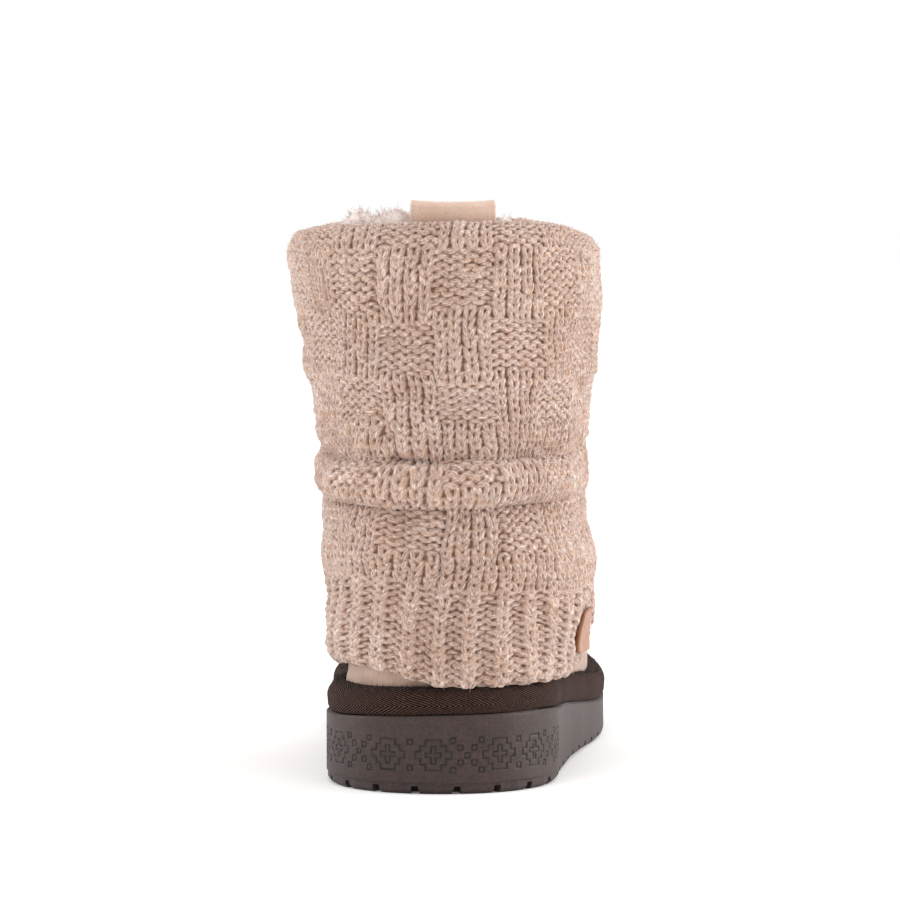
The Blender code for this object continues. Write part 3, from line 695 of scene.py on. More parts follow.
def knit_surface(u, v):
    """The sleeve's outer face with its stitches. Courses rise from the hem to the tuck, turn
    through the tuck's roll as an ellipse, go on to the rim and turn over it as two quarter
    ellipses; the yarn, the blocks, the ribs and the creases are added along the normals."""
    shares = (u - STITCHES / 2.0) / (STITCHES / 2.0) - BLOCK_SHIFT
    sway = 0.35 * ripple(u, v, 5, 22.0, 3) + 0.08 * ripple(u, v, 7, 6.0, 4)
    shares = shares + sway * ease(v, 1.0, 10.0) * 2.0 / STITCHES
    shares, v = np.broadcast_arrays(shares, v)
    place = np.interp(v, PLACE_COURSES, PLACES)
    loose = FACET_GAP + SLOUCH * look_up(LOOSE, "loose", place)
    turn = np.radians(np.interp(v, (TUCK_START, TUCK_END), TUCK_TURN))
    in_tuck = (v >= TUCK_START) & (v <= TUCK_END)
    plump = 1.0 + 0.12 * ripple(shares * 40.0, 0.0 * v, 4, 13.0, 5)
    place = np.where(in_tuck, 0.997 + 0.088 * np.sin(turn), place)
    plump = plump - 0.65 * bell((shares - 0.46) / 0.22) - 0.3 * bell((shares + 0.46) / 0.22)
    roll = np.where(in_tuck, TUCK_BULGE * plump * np.cos(turn), 0.0)
    below = -0.30 * TUCK_BULGE * bell((v - TUCK_START) / 1.3) * (v < TUCK_START)
    above = -0.10 * TUCK_BULGE * bell((v - TUCK_END) / 1.3) * (v > TUCK_END)
    heights = sleeve_heights(shares, place)
    drift = 0.7 * ripple(shares * 40.0, v, 5, 16.0, 11) + 0.20 * ripple(u, v, 7, 4.5, 12)
    heights = heights + drift * MM * within(v, 0.5, 4.0, 48.0, 54.0)
    ribs = np.cos(math.pi * (u - 0.5)) * (1.0 - ease(v, RIB_TOP - 1.5, RIB_TOP + 0.5))
    relief, yarn = yarn_relief(u, v)
    blocks = BLOCK_RELIEF * (block_swell(u, v) - 0.5) * ease(v, RIB_TOP, RIB_TOP + 2.0)
    hem_round = ease(v, -0.2, 1.0)
    ground = (KNIT_WALL - 0.45 * YARN_RELIEF) * (0.55 + 0.45 * hem_round)
    slack = (0.45 * ripple(shares * 40.0, v, 6, 9.0, 17) + 0.22 * ripple(u, v, 8, 3.5, 18)) * MM
    out = (loose + ground + roll + below + above + sleeve_lean(shares, heights) + blocks + slack
           + RIB_RELIEF * ribs - crease_depth(u, v))
    rim = np.clip((v - RIM_START) / (RIM_CREST - RIM_START), 0.0, 1.0)
    inside = np.clip((v - RIM_CREST) / (COURSES - RIM_CREST), 0.0, 1.0)
    crest = RIM_TOP - SEAT_HEIGHT - rim_droop(shares)
    start = sleeve_heights(shares, PLACES[4])
    over = np.radians(90.0 * rim)
    on_rim = v > RIM_START
    heights = np.where(on_rim, start + (crest - start) * np.sin(over), heights)
    out = np.where(on_rim, RIM_OUT + (out - RIM_OUT) * np.cos(over), out)
    back_down = np.radians(90.0 * inside)
    heights = np.where(inside > 0.0, crest - RIM_DOWN * (1.0 - np.cos(back_down)), heights)
    out = np.where(inside > 0.0, RIM_OUT - RIM_IN * np.sin(back_down), out)
    smooth_face = on_last(shares, heights, out)
    outward = grid_normals(smooth_face, True)
    tapered = 1.0 - 0.5 * ease(v, RIM_CREST, COURSES)
    points = smooth_face + outward * (YARN_RELIEF * relief * tapered)[..., None]
    return points, outward, relief, yarn


def strands(name, finish, replaced, roots, ends, bends, widths, steps, chosen_side):
    """Piece of thin tapering ribbons: each runs from its root to its end, bowed by its bend,
    and narrows to a point."""
    count = len(roots)
    share = np.linspace(0.0, 1.0, steps + 1)[None, :, None]
    line = roots[:, None] + (ends - roots)[:, None] * share \
        + bends[:, None] * (share * (1.0 - share) * 4.0)
    half = 0.5 * widths[:, None, None] * (1.0 - 0.92 * share) * chosen_side[:, None]
    pair = np.stack([line - half, line + half], axis=2)
    points = pair.reshape(-1, 3)
    base = (np.arange(count) * (steps + 1) * 2)[:, None] + (np.arange(steps) * 2)[None, :]
    faces = np.stack([base, base + 1, base + 3, base + 2], axis=-1).reshape(-1, 4)
    piece(name, points, faces, finish, (replaced,))


def wool_finish():
    """Heathered wool-blend yarn, two plies spun soft. Fibres of cream, tan and brown are mixed
    before spinning, so each strand shows streaks along it; the gaps between strands are
    painted darker as painted shade, and loose fibres give the edges a pale bloom."""
    finish, tree, shader, spot = start_finish(
        "heathered_wool_knit", Roughness=0.92, Sheen_Weight=0.75, Sheen_Roughness=0.35,
        Sheen_Tint=linear("#e2e4ea"), Specular_IOR_Level=0.2)
    yarn = kept(tree, "yarn")
    # Fibres 0.3 mm apart across the strand and about 2 mm long
    along = mapped(tree, yarn, Scale=(2.6, 0.75, 1.0))
    fibre = ramp(tree, noise(tree, along, 1.0, Detail=3.0, Roughness=0.6),
                 (0.30, "#80665b"), (0.70, "#f4e8df"), (0.43, "#b99e92"), (0.55, "#d6beb1"))
    apart = mapped(tree, yarn, Scale=(1.3, 0.5, 2.7), Location=(5.0, 9.0, 0.0))
    flecks = noise(tree, apart, 1.0, Detail=1.0)
    golden = laid_over(tree, remap(tree, flecks, 0.55, 0.66, 0.55), fibre, linear("#cba07c"))
    heather = laid_over(tree, remap(tree, flecks, 0.40, 0.32, 0.45), golden, linear("#8d6f60"))
    # Broad cloudiness of the dye lot, 20 mm across
    cloud = ramp(tree, noise(tree, spot, 50.0, Detail=2.0), (0.3, "#f0e9e4"), (0.7, "#ffffff"))
    # The ground between the strands, painted darker where the yarn is low: painted shade
    painted_gap_shade = ramp(tree, kept(tree, "depth", "Fac"), (0.10, "#aa9788"), (0.60, "#ffffff"),
                  (0.34, "#ded1c7"))
    shaded = laid_over(tree, 1.0, laid_over(tree, 1.0, heather, cloud, "MULTIPLY"), painted_gap_shade,
                       "MULTIPLY")
    # Two plies twisted once in 2.4 mm, and the fibres themselves
    twist = node(tree, "ShaderNodeTexWave", {
        "Vector": mapped(tree, yarn, Scale=(0.55, 0.42, 0.0)), "Scale": 1.0, "Distortion": 1.5,
        "Detail": 1.0}, bands_direction="DIAGONAL")
    fuzz = noise(tree, along, 2.2, Detail=2.0)
    dress(tree, shader, shaded, reckon(tree, "ADD", twist.outputs["Fac"], fuzz), 0.55, 0.25)
    return finish


def hair_finish(name, root, tip):
    """Loose fibre ends: matt, in locks that differ in tone every 3 mm or so."""
    finish, tree, shader, spot = start_finish(name, Roughness=0.9, Sheen_Weight=0.3,
                                              Specular_IOR_Level=0.2)
    colour = ramp(tree, noise(tree, spot, 330.0, Detail=2.0), (0.3, root), (0.65, tip))
    tree.links.new(colour, shader.inputs["Base Color"])
    return finish


def knitted_sleeve():
    """The sleeve in four bands of one surface, its turned-in hem, and its loose fibres."""
    wool = wool_finish()
    u = (np.arange(STITCHES * POINTS_ACROSS) / POINTS_ACROSS)[None, :]
    v = (np.arange(COURSES * POINTS_UP + 1) / POINTS_UP)[:, None]
    points, outward, relief, yarn = knit_surface(u, v)
    normals = grid_normals(points, True)
    for name, start, end in (("knit_ribbed_hem", 0, RIB_TOP),
                             ("knit_ankle_and_tuck", RIB_TOP, TUCK_END),
                             ("knit_shaft", TUCK_END, SHAFT_SPLIT),
                             ("knit_shaft_and_rim", SHAFT_SPLIT, COURSES)):
        rows = slice(start * POINTS_UP, end * POINTS_UP + 1)
        sheet(name, points[rows], wool, True, ("knit_sleeve",),
              {"yarn": yarn[rows], "depth": relief[rows]}, normals[rows])
    # The hem's edge turns under and up to the sleeve's inner face
    shares = (u - STITCHES / 2.0) / (STITCHES / 2.0) - BLOCK_SHIFT
    hem = hem_heights(shares)
    edge = points[0]
    inner = on_last(shares, hem, FACET_GAP + 0.1 * SLOUCH)[0]
    higher = on_last(shares, hem + 9.0 * MM, FACET_GAP + 0.1 * SLOUCH)[0]
    middle = 0.5 * (edge + inner)
    under = np.array([higher, inner, middle, edge])
    under_yarn = np.zeros(under.shape)
    under_yarn[..., 0] = u * STITCH / MM
    # Its depth of 0.3 gives it part of the wool's painted gap shade
    sheet("knit_hem_turning", under, wool, True, ("knit_sleeve",),
          {"yarn": under_yarn, "depth": np.full(under.shape[:2], 0.3)})
    row = chance.integers(2, (COURSES - 2) * POINTS_UP, LOOSE_FIBRES)
    column = chance.integers(0, STITCHES * POINTS_ACROSS, LOOSE_FIBRES)
    high = relief[row, column] > 0.45
    row, column = row[high], column[high]
    roots = points[row, column]
    out = outward[row, column]
    drift = chance.normal(0.0, 1.0, roots.shape)
    side = unit(np.cross(out, drift))
    length = chance.gamma(3.0, 0.36, len(roots))[:, None].clip(0.3, 3.0) * MM
    ends = roots + length * unit(out * 0.55 + side * 1.1 + 0.35 * drift)
    bends = 0.25 * length * unit(drift)
    widths = chance.uniform(0.06, 0.13, len(roots)) * MM
    strands("knit_loose_fibres", hair_finish("wool_fibre_ends", "#b49b8c", "#e3d5cb"),
            "knit_sleeve", roots - 0.1 * MM * out, ends, bends, widths, 2,
            unit(np.cross(ends - roots, out + 0.4 * drift)))


knitted_sleeve()


# The pile: its face runs from the strap side over the top and down the inside. Rows are the
# share of its depth inwards and the height above the collar in mm.
PILE = table(("way", "across", "rise"), (
    (0.00, 0.00, -4.0),
    (0.10, 0.04, 0.0),
    (0.20, 0.35, 2.2),
    (0.32, 0.75, 1.0),
    (0.45, 1.00, -4.0),
    (0.70, 1.05, -17.0),
    (1.00, 0.85, -36.0),
))

# Tufts that stand above the rim: share round the collar, half-width as a share, height in mm
TUFT_ROWS = (
    (-0.215, 0.035, 6.5),
    (-0.165, 0.030, 6.0),
    (-0.112, 0.024, 7.0),
    (-0.080, 0.020, 4.5),
    (0.130, 0.030, 3.4),
    (0.170, 0.022, 1.6),
    (-0.62, 0.06, 1.5),
    (0.55, 0.06, 1.2),
    (0.92, 0.08, 2.0),
)


def pile_face(shares, way):
    """Face of the pile lining: a rounded cushion, lumpy where locks gather, 7 mm deep."""
    distance = np.abs(shares * COLLAR_HALF["lateral"] - LOOP_TO_SIDE)
    recess = 1.0 - ease(distance, 0.5 * LOOP_WIDTH, 0.5 * LOOP_WIDTH + 4.0 * MM)
    across = look_up(PILE, "across", way)
    rise = look_up(PILE, "rise", way) * MM
    standing = bell((way - 0.2) / 0.16)
    tufts = sum(bell((shares - share) / width) * height for share, width, height in TUFT_ROWS)
    lumps = ripple(shares * 60.0, way * 20.0, 9, 3.2, 23)
    rise = rise + standing * (tufts + 1.0 * lumps) * MM
    start = UPPER_WALL + FACET_GAP + recess * (2.0 * STRAP_THICKNESS + STRAP_FOLD + GAP)
    inwards = start + across * (FUR_DEPTH - 0.3 * recess * FUR_DEPTH) + 0.6 * MM * lumps * across
    return on_last(shares, COLLAR_RISE + rise - 0.8 * rim_droop(shares) * (1.0 - way), -inwards)


def pile_lining():
    """Pile at the collar: its lumpy face, with tapering curled locks standing on it."""
    cream = hair_finish("cream_pile", "#c0ada5", "#e9ded8")
    shares = np.linspace(-1.0, 1.0, 361)[None, :-1]
    way = np.linspace(0.0, 1.0, 41)[:, None]
    face = pile_face(*np.broadcast_arrays(shares, way))
    sheet("pile_collar", face, cream, True, ("fur_collar",))
    outward = grid_normals(face, True)
    count = PILE_LOCKS
    row = (chance.beta(1.1, 1.5, count) * 38).astype(int)
    column = chance.integers(0, 360, count)
    roots, out = face[row, column], outward[row, column]
    clump = np.round(roots / (2.6 * MM))
    lean = np.stack([np.sin(clump @ np.array(turn)) for turn in
                     ((12.9, 78.2, 37.7), (39.3, 11.1, 83.1), (73.1, 52.2, 9.1))], axis=-1)
    drift = 0.8 * lean + 0.35 * chance.normal(0.0, 1.0, roots.shape)
    length = chance.uniform(1.0, 2.9, count)[:, None] * MM
    ends = roots + length * unit(out + 0.9 * drift)
    bends = 0.5 * length * unit(chance.normal(0.0, 1.0, roots.shape))
    widths = chance.uniform(0.16, 0.42, count) * MM
    strands("pile_locks", cream, "fur_collar", roots - 0.3 * MM * out, ends, bends,
            widths, 3, unit(np.cross(ends - roots, drift)))


pile_lining()


def suede_finish(name, dark, light, nap):
    """Split suede, brushed: no shine, a short nap that lies in soft patches a few mm across
    and a fine grain of about 0.4 mm."""
    finish, tree, shader, spot = start_finish(name, Roughness=0.93, Sheen_Weight=0.3,
                                              Sheen_Roughness=0.6, Specular_IOR_Level=0.25)
    patches = noise(tree, spot, 120.0, Detail=4.0, Roughness=0.6)
    grain = noise(tree, spot, 2200.0, Detail=2.0)
    colour = ramp(tree, mean(tree, patches, grain), (0.34, dark), (0.66, light))
    dress(tree, shader, colour, grain, nap, 0.2)
    return finish


# Creases of the vamp where the foot bends: how far along the foot, how far they run to each
# side, their slant, width in mm and depth in mm
VAMP_CREASES = (
    (0.118, 0.030, 0.10, 4.0, 0.50),
    (0.131, 0.034, -0.08, 4.5, 0.60),
    (0.146, 0.030, 0.14, 5.0, 0.40),
)


def suede_foot():
    """Outer face of the suede, with shallow creases across the vamp, and its lining within."""
    suede = suede_finish("pale_tan_suede", "#a28575", "#c9ac9b", 0.5)
    shares = np.linspace(-1.0, 1.0, 241)[None, :-1]
    heights = np.linspace(0.0, COLLAR_RISE, 64)[:, None]
    flat = on_last(shares, heights, 0.0)
    trough = 0.0
    for along, reach, slant, width, depth in VAMP_CREASES:
        across = flat[..., 1] - along - slant * flat[..., 0]
        trough = trough + depth * MM * bell(across / (width * MM)) * bell(flat[..., 0] / reach)
    slack = 0.25 * MM * ripple(flat[..., 0], flat[..., 1] + flat[..., 2], 7, 0.03, 31)
    on_foot = within(heights, 0.012, 0.03, 0.07, 0.09)
    hidden = ease(heights, hem_heights(shares) + 3.0 * MM, hem_heights(shares) + 12.0 * MM)
    sagging = heights - 0.8 * rim_droop(shares) * (heights / COLLAR_RISE) ** 4
    face = on_last(shares, sagging, (slack - trough * (flat[..., 1] > 0.08)) * on_foot
                   - 1.5 * MM * hidden - 1.4 * MM * bell((shares + 0.36) / 0.2)
                   * within(heights, 0.008, 0.014, 0.02, 0.04))
    sheet("suede_upper", face, suede, True, ("upper",))
    pile = hair_finish("pile_inside", "#c5b0a3", "#efe4dc")
    rows = np.linspace(INSOLE_THICKNESS, COLLAR_RISE - 30.0 * MM, 42)[:, None]
    lumps = 0.9 * MM * ripple(shares * 60.0, rows / MM * 0.35, 9, 4.0, 37)
    inside = on_last(shares, rows, -UPPER_WALL - 1.6 * MM + lumps)
    sheet("pile_inside_shaft", inside[::-1], pile, True, ("upper",))


suede_foot()


def sole_line():
    """Dense outline of the sole in plan, its outward normals and its length from the middle
    of the back, plus towards the lateral side."""
    ring = last_ring(0.0, np.linspace(-1.0, 1.0, 2401)[:-1])[:, :2]
    along = np.roll(ring, -1, axis=0) - np.roll(ring, 1, axis=0)
    side = unit(np.column_stack([along[:, 1], -along[:, 0]]))
    line = ring + side * SOLE_MARGIN
    lengths = lengths_along(*line.T)
    return line, side, lengths - lengths[len(ring) // 2]


def box_distance(x, y, half_width, half_height):
    """Distance to the edge of an upright rectangle about the origin, minus inside it."""
    dx, dy = np.abs(x) - half_width, np.abs(y) - half_height
    return np.hypot(np.maximum(dx, 0.0), np.maximum(dy, 0.0)) + np.minimum(np.maximum(dx, dy), 0.0)


# The band of stepped crosses pressed into the heel, in mm: medallions along the band, and
# small squares between them
MEDALLIONS = (-56.6, -40.7, -16.7, -0.8, 22.1, 38.0, 60.9)
PAIR_GAPS = (-8.8, 30.0, -48.7)
CROSS_GAPS = (-28.7, 10.6, 49.4)
BAND_MIDDLE = 13.3
BAND_FOOT = 3.3 * MM
BAND_SPAN = (-90.0, -74.0, 78.0, 110.0)

# How much higher the sole's wall stands round the back of the heel, in mm, against the
# length round the sole in mm
LIP = table(("around", "rise"), (
    (-60.0, 0.0),
    (-45.0, 0.2),
    (-30.0, 0.9),
    (-15.0, 1.6),
    (0.0, 2.1),
    (20.0, 2.4),
    (40.0, 2.3),
    (52.0, 1.8),
    (62.0, 1.0),
    (75.0, 0.0),
))


def heel_lip(lengths):
    """Rise of the wall's upper edge round the heel, in metres."""
    return look_up(LIP, "rise", lengths / MM) * MM


def groove(x, z):
    """1 in the grooves of the ornament, 0 outside: a line 0.45 mm wide along the outlines of
    the stepped crosses, of the plus inside each and of the small squares."""
    lines = np.full(x.shape, 9.0)
    for middle in MEDALLIONS:
        dx = x - middle
        outer = np.minimum(box_distance(dx, z, 2.7, 5.2), box_distance(dx, z, 4.3, 3.2))
        outer = np.minimum(outer, box_distance(dx, z, 6.1, 1.2))
        plus = np.minimum(box_distance(dx, z, 2.6, 0.75), box_distance(dx, z, 0.75, 3.0))
        lines = np.minimum(lines, np.minimum(np.abs(outer), np.abs(plus)))
    squares = [(middle, side * 4.4) for middle in PAIR_GAPS for side in (-1.0, 1.0)]
    for middle in CROSS_GAPS:
        squares.append((middle, 0.0))
        squares.extend((middle + across * 2.4 * step, up * 2.5 * step) for across in (-1.0, 1.0)
                       for up in (-1.0, 1.0) for step in (1.0, 2.0))
    for middle, height in squares:
        lines = np.minimum(lines, np.abs(box_distance(x - middle, z - height, 0.85, 0.85)))
    return 1.0 - ease(lines, 0.14, 0.32)


def rubber_finish():
    """Moulded crepe-brown rubber: matt, with faint cloudy bloom and fine pale specks of the
    cast skin, 0.6 mm apart. The pressed lines are painted near-black as painted shade in
    the grooves."""
    finish, tree, shader, spot = start_finish("moulded_brown_rubber", Roughness=0.6,
                                              Specular_IOR_Level=0.5)
    bloom = ramp(tree, noise(tree, spot, 70.0, Detail=5.0, Roughness=0.65),
                 (0.3, "#362421"), (0.7, "#493430"))
    specks = ramp(tree, noise(tree, spot, 1100.0, Detail=3.0, Roughness=0.7),
                  (0.35, "#aaa39f"), (0.68, "#ffffff"))
    # The pressed grooves are painted near-black: painted shade
    groove_shaded = laid_over(tree, kept(tree, "pressed", "Fac"),
                      laid_over(tree, 1.0, bloom, specks, "MULTIPLY"), linear("#120c0b"))
    dress(tree, shader, groove_shaded, noise(tree, spot, 1500.0, Detail=2.0), 0.25, 0.12)
    return finish


def heel_band():
    """Skin over the heel's wall, 0.45 mm proud of it, with the ornament pressed in. It runs
    out into the wall at both ends and rises a little round the back."""
    rubber = rubber_finish()
    line, side, lengths = sole_line()
    arc = np.linspace(BAND_SPAN[0], BAND_SPAN[-1], 721)
    x, y, across, along = (np.interp(arc * MM, lengths, values) for values in
                           (line[:, 0], line[:, 1], side[:, 0], side[:, 1]))
    share = np.linspace(0.0, 1.0, 74)[:, None]
    low, high = BAND_FOOT, sole_top(y) - 0.1 * MM + heel_lip(arc * MM)
    z = low + (high - low) * share
    pressed = groove(np.broadcast_to(arc, z.shape), z / MM - BAND_MIDDLE)
    rim = np.minimum(ease(share, 0.0, 0.03), ease(1.0 - share, 0.0, 0.03))
    proud = (-0.25 + 0.70 * rim * within(arc, *BAND_SPAN) - 0.46 * pressed) * MM
    points = np.stack([x + across * proud, y + along * proud, np.broadcast_to(z, proud.shape)],
                      axis=-1)
    sheet("heel_ornament_band", points, rubber, False,
          values={"pressed": pressed})
    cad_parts["outsole"].data.materials[0] = rubber


heel_band()


def twill_finish():
    """Cotton herringbone twill tape: dark brown warp with ribs under 1 mm apart that change
    their slant 3.4 mm above the tape's lower edge. The crowns of the ribs are painted lighter
    and the grooves between them darker, as painted highlight and shade, blended with a random
    thread tone."""
    finish, tree, shader, spot = start_finish("herringbone_twill", Roughness=0.95,
                                              Sheen_Weight=0.02, Specular_IOR_Level=0.1)
    weave = kept(tree, "weave")
    parts = node(tree, "ShaderNodeSeparateXYZ", {0: weave}).outputs
    folded = reckon(tree, "ABSOLUTE", reckon(tree, "SUBTRACT", parts["Y"], 3.4))
    # Where it was pulled round, the weave is skewed by up to 2 mm over some 20 mm
    skew = reckon(tree, "MULTIPLY", noise(tree, weave, 0.05, Detail=1.0), 5.0)
    run = reckon(tree, "ADD", reckon(tree, "MULTIPLY", parts["X"], 0.5),
                 reckon(tree, "ADD", folded, skew))
    wave = reckon(tree, "SINE", reckon(tree, "MULTIPLY", run, 2.0 * math.pi / 0.85))
    thread = noise(tree, spot, 1400.0, Detail=2.0)
    height = mean(tree, remap(tree, wave, -1.0, 1.0, 1.0), thread)
    # Colour from the rib height: painted highlight on the crowns, painted shade between them
    dress(tree, shader, ramp(tree, height, (0.42, "#0a0505"), (0.78, "#5b423a")), height, 0.7, 0.3)
    return finish


def foxing_tape():
    """Roll of tape round the joint of upper and sole: upright inside, rounded outside and on
    top, as the frame's, with a slight wave where it was pulled round."""
    twill = twill_finish()
    line, side, lengths = sole_line()
    profile = [(GAP, TAPE_HEIGHT)]
    for turn in np.linspace(*TAPE_TURNS, 16):
        profile.append((GAP + (SOLE_MARGIN + TAPE_PROUD - GAP) * math.cos(turn) ** 0.85,
                        TAPE_HEIGHT * (TAPE_SHOULDER + (1.0 - TAPE_SHOULDER)
                                       * math.sin(turn) ** 0.9)))
    profile.extend([(SOLE_MARGIN + 0.1 * MM, 0.15 * TAPE_HEIGHT), (SOLE_MARGIN - 0.6 * MM, 0.0)])
    out, rise = np.array(profile[::-1]).T
    wave = 0.18 * MM * ripple(lengths[None, :], 0.0, 6, 0.035, 41)
    reach = out[:, None] - SOLE_MARGIN + wave * (out[:, None] > 2.0 * MM)
    x = line[None, :, 0] + side[None, :, 0] * reach
    y = line[None, :, 1] + side[None, :, 1] * reach
    carried = heel_lip(lengths) * (1.0 - 0.5 * rise[:, None] / TAPE_HEIGHT)
    z = feather(y) + carried + rise[:, None] + 0.8 * wave * (rise[:, None] > 5.0 * MM)
    points = np.stack([x, y, z], axis=-1)[:, ::2]
    weave = np.zeros(points.shape)
    weave[..., 0] = lengths[None, ::2] / MM
    weave[..., 1] = lengths_along(out, rise)[:, None] / MM
    sheet("twill_foxing_tape", points, twill, True, ("foxing_tape",),
          {"weave": weave})
    # Cut threads stand up along its upper edge
    outward = grid_normals(points, True)
    count = TAPE_THREADS
    row = chance.integers(len(out) - 8, len(out) - 1, count)
    column = chance.integers(0, points.shape[1], count)
    roots, up = points[row, column], outward[row, column]
    drift = chance.normal(0.0, 1.0, roots.shape)
    length = chance.gamma(3.0, 0.30, count)[:, None].clip(0.3, 2.4) * MM
    ends = roots + length * unit(up + 0.7 * drift)
    widths = chance.uniform(0.10, 0.22, count) * MM
    strands("tape_threads", hair_finish("cut_twill_threads", "#120a07", "#33231c"),
            "foxing_tape", roots, ends, 0.3 * length * unit(drift), widths, 2,
            unit(np.cross(ends - roots, drift)))


foxing_tape()


def pull_strap():
    """Strap folded into a standing loop at the back: a path up, round the fold and down,
    carried over the width, with a crown that dips by 0.6 mm and edges folded thin."""
    strap = suede_finish("strap_suede", "#b99a87", "#d8bcab", 0.4)
    half = 0.5 * (LOOP_WIDTH + 1.6 * MM) / COLLAR_HALF["lateral"]
    across = np.linspace(-1.0, 1.0, 49)
    shares = (LOOP_TO_SIDE + 1.0 * MM) / COLLAR_HALF["lateral"] + across * half
    span = STRAP_THICKNESS + STRAP_FOLD
    first = UPPER_WALL + FACET_GAP
    radius = 0.5 * (span + STRAP_THICKNESS)
    rising = (170.0, 182.0, 190.0)
    path = [(first, height * MM) for height in rising]
    path += [(first + radius * (1.0 + math.cos(turn)), LOOP_TOP - radius * (1.0 - math.sin(turn)))
             for turn in np.linspace(math.pi, 0.0, 13)]
    path = np.array(path + [(first + 2.0 * radius, height * MM) for height in rising[::-1]])
    dip = 0.6 * MM * (1.0 - across ** 2)[None, :] * ease(path[:, 1], 0.19, 0.199)[:, None]
    edge = 0.25 * MM * bell((np.abs(across) - 0.90) / 0.03)[None, :]
    rounded = 0.5 * MM * np.clip((np.abs(across) - 0.97) / 0.03, 0.0, 1.0)[None, :] ** 2
    toward = np.sign(first + radius - path[:, 0])[:, None]
    inwards = path[:, 0][:, None] + toward * (edge + rounded)
    rows = on_last(shares[None, :], path[:, 1][:, None] - SEAT_HEIGHT - dip, -inwards)
    made = sheet("pull_strap", rows, strap, False, ("pull_loop",))
    wall = made.modifiers.new("strap", "SOLIDIFY")
    wall.thickness = 0.8 * STRAP_THICKNESS
    wall.offset = -1.0


pull_strap()


def leather_finish():
    """Smooth vegetable-tanned leather, bare: tan, low gloss and fine pores."""
    finish, tree, shader, spot = start_finish("tan_patch_leather", Roughness=0.5,
                                              Specular_IOR_Level=0.4)
    colour = ramp(tree, noise(tree, spot, 150.0, Detail=4.0), (0.3, "#86583e"), (0.7, "#a87655"))
    pores = node(tree, "ShaderNodeTexVoronoi", {"Vector": spot, "Scale": 1500.0})
    dress(tree, shader, colour, pores.outputs["Distance"], 0.3, 0.1)
    return finish


def leather_patch():
    """Bare plate on the ribbed hem: a grid with rounded corners and edges, bent with the
    sleeve."""
    tan = leather_finish()
    middle = -HEEL_TO_BACK + PATCH_FORWARD
    fine = np.linspace(0.0, 1.0, 200)
    tuck = TUCK_HEIGHT - SEAT_HEIGHT
    bottom = np.interp(middle, last_ring(TAPE_HEIGHT, fine)[:, 1], hem_heights(fine))

    def on_patch(across, up, lift):
        """Place on the sleeve of a point of the plate, given as shares of its half sizes."""
        height = bottom + PATCH_ABOVE_HEM + 0.5 * PATCH_HEIGHT * (1.0 + up)
        y = middle + 0.5 * PATCH_LENGTH * across
        shares = np.zeros(y.shape)
        for row in range(len(y)):
            shares[row] = np.interp(y[row], last_ring(float(height[row].mean()), fine)[:, 1], fine)
        place = np.clip((height - hem_heights(shares)) / (tuck - hem_heights(shares)), 0.0, 1.0)
        loose = FACET_GAP + SLOUCH * look_up(LOOSE, "loose", place)
        lean = sleeve_lean(shares, height)
        return on_last(shares, height, loose + KNIT_WALL + 1.9 * MM + lean + lift)

    up, across = np.meshgrid(np.linspace(-1.0, 1.0, 31), np.linspace(-1.0, 1.0, 61), indexing="ij")
    corner = 1.0 - 0.10 * np.clip((np.abs(up) - 0.6) / 0.4, 0.0, 1.0) ** 2
    edge = np.maximum(np.abs(up), np.abs(across))
    lift = 0.9 * MM * (1.0 - np.clip((edge - 0.93) / 0.07, 0.0, 1.0) ** 2 * 0.8)
    made = sheet("leather_patch_plate", on_patch(across * corner, up, lift), tan,
                 False, ("leather_patch",))
    wall = made.modifiers.new("plate", "SOLIDIFY")
    wall.thickness = 1.2 * MM
    wall.offset = -1.0


leather_patch()


# The footbed is cream pile too
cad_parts["insole"].data.materials[0] = hair_finish("footbed_pile", "#c2ada0", "#ece0d7")


# Camera: degrees round from straight behind and down, metres behind the heel, to its right
# and above the floor, and its focal length in pixels of the photograph
CAMERA_TURN = 3.0
CAMERA_TILT = 3.69
CAMERA_BACK = 1.77
CAMERA_RIGHT = 0.00275
CAMERA_HEIGHT = 0.230
FOCAL_PIXELS = 5310.0
PHOTO_PIXELS = 900.0
SENSOR = 36.0


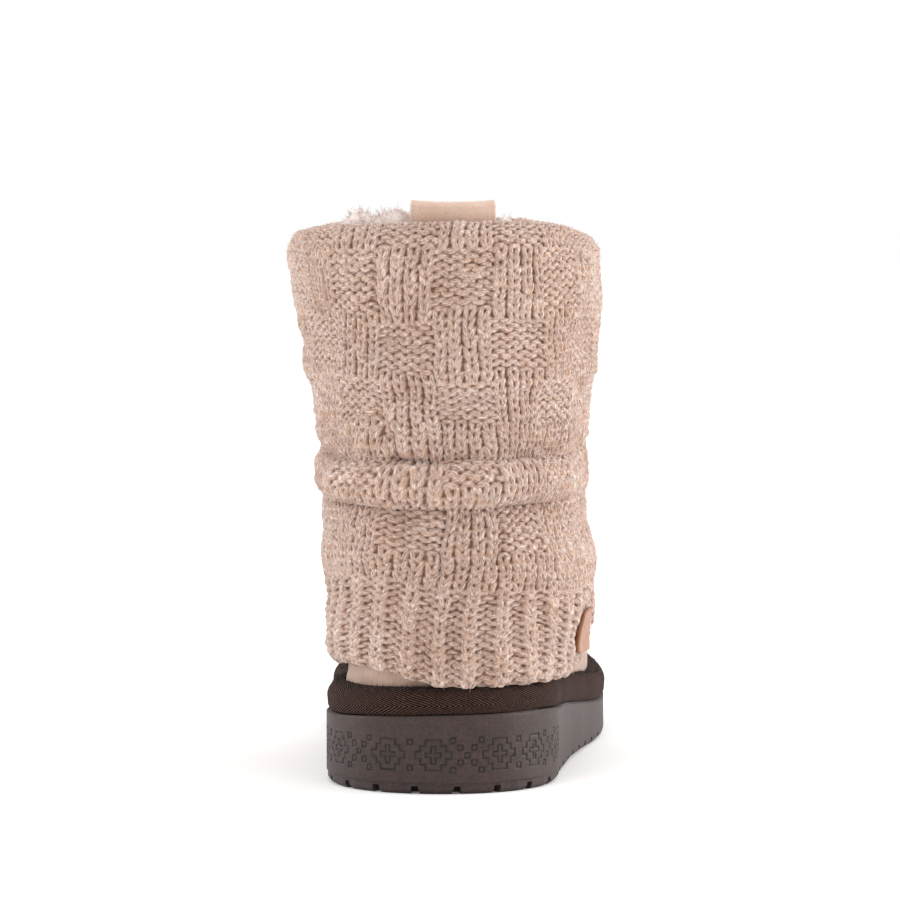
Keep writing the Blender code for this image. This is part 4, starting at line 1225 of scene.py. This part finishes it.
def studio():
    """Camera where the photograph's was, a plain pale floor and soft light from both sides,
    above and behind the camera."""
    scene = bpy.context.scene
    azimuth = math.radians(CAMERA_TURN)
    forward = Vector((-math.sin(azimuth), math.cos(azimuth), 0.0))
    right = Vector((math.cos(azimuth), math.sin(azimuth), 0.0))
    heel = Vector((0.0, SOLE_BACK, 0.0))
    place = heel - forward * CAMERA_BACK + right * CAMERA_RIGHT
    place.z = CAMERA_HEIGHT
    lens = bpy.data.cameras.new("camera")
    lens.sensor_width = SENSOR
    lens.lens = FOCAL_PIXELS / PHOTO_PIXELS * SENSOR
    lens.clip_end = 20.0
    camera = bpy.data.objects.new("camera", lens)
    camera.location = place
    camera.rotation_euler = (math.radians(90.0 - CAMERA_TILT), 0.0, azimuth)
    scene.collection.objects.link(camera)
    scene.camera = camera
    mesh = bpy.data.meshes.new("floor")
    mesh.from_pydata([(x, y, 0.0) for y in (-6.0, 6.0) for x in (-6.0, 6.0)], [], [(0, 1, 3, 2)])
    pale, tree, shader, spot = start_finish("pale_floor", Roughness=0.8, Specular_IOR_Level=0.1)
    shader.inputs["Base Color"].default_value = linear("#fbfaf9")
    shader.inputs["Emission Color"].default_value = linear("#ffffff")
    # The floor glows towards its edges, so that it is white all over but for the boot's shadow
    away = node(tree, "ShaderNodeVectorMath", {0: spot}, operation="LENGTH")
    glow = node(tree, "ShaderNodeMapRange", {"Value": away.outputs["Value"], "From Min": 0.10,
                                             "From Max": 0.90, "To Min": 0.10, "To Max": 0.62})
    tree.links.new(glow.outputs[0], shader.inputs["Emission Strength"])
    mesh.materials.append(pale)
    floor = bpy.data.objects.new("floor", mesh)
    scene.collection.objects.link(floor)
    world = bpy.data.worlds.new("studio")
    world.use_nodes = True
    tree = world.node_tree
    ray = node(tree, "ShaderNodeLightPath").outputs["Is Camera Ray"]
    strength = node(tree, "ShaderNodeMapRange", {"Value": ray, "To Min": 0.50, "To Max": 1.0})
    sky = tree.nodes["Background"]
    sky.inputs["Color"].default_value = linear("#ffffff")
    tree.links.new(strength.outputs[0], sky.inputs["Strength"])
    scene.world = world
    for name, spot, power, size in (
            ("left_softbox", (-1.3, 0.35, 0.6), 10.0, 1.0),
            ("right_softbox", (1.3, 0.30, 0.6), 18.0, 1.0),
            ("top_softbox", (0.0, -0.2, 1.5), 11.0, 1.2),
            ("front_softbox", (-0.9, -1.9, 1.1), 9.0, 0.8)):
        light = bpy.data.lights.new(name, "AREA")
        light.energy = power
        light.size = size
        lamp = bpy.data.objects.new(name, light)
        lamp.location = spot
        aim = Vector((0.0, 0.03, 0.1)) - Vector(spot)
        lamp.rotation_euler = aim.to_track_quat("-Z", "Y").to_euler()
        scene.collection.objects.link(lamp)
    scene.view_settings.view_transform = "Standard"


studio()
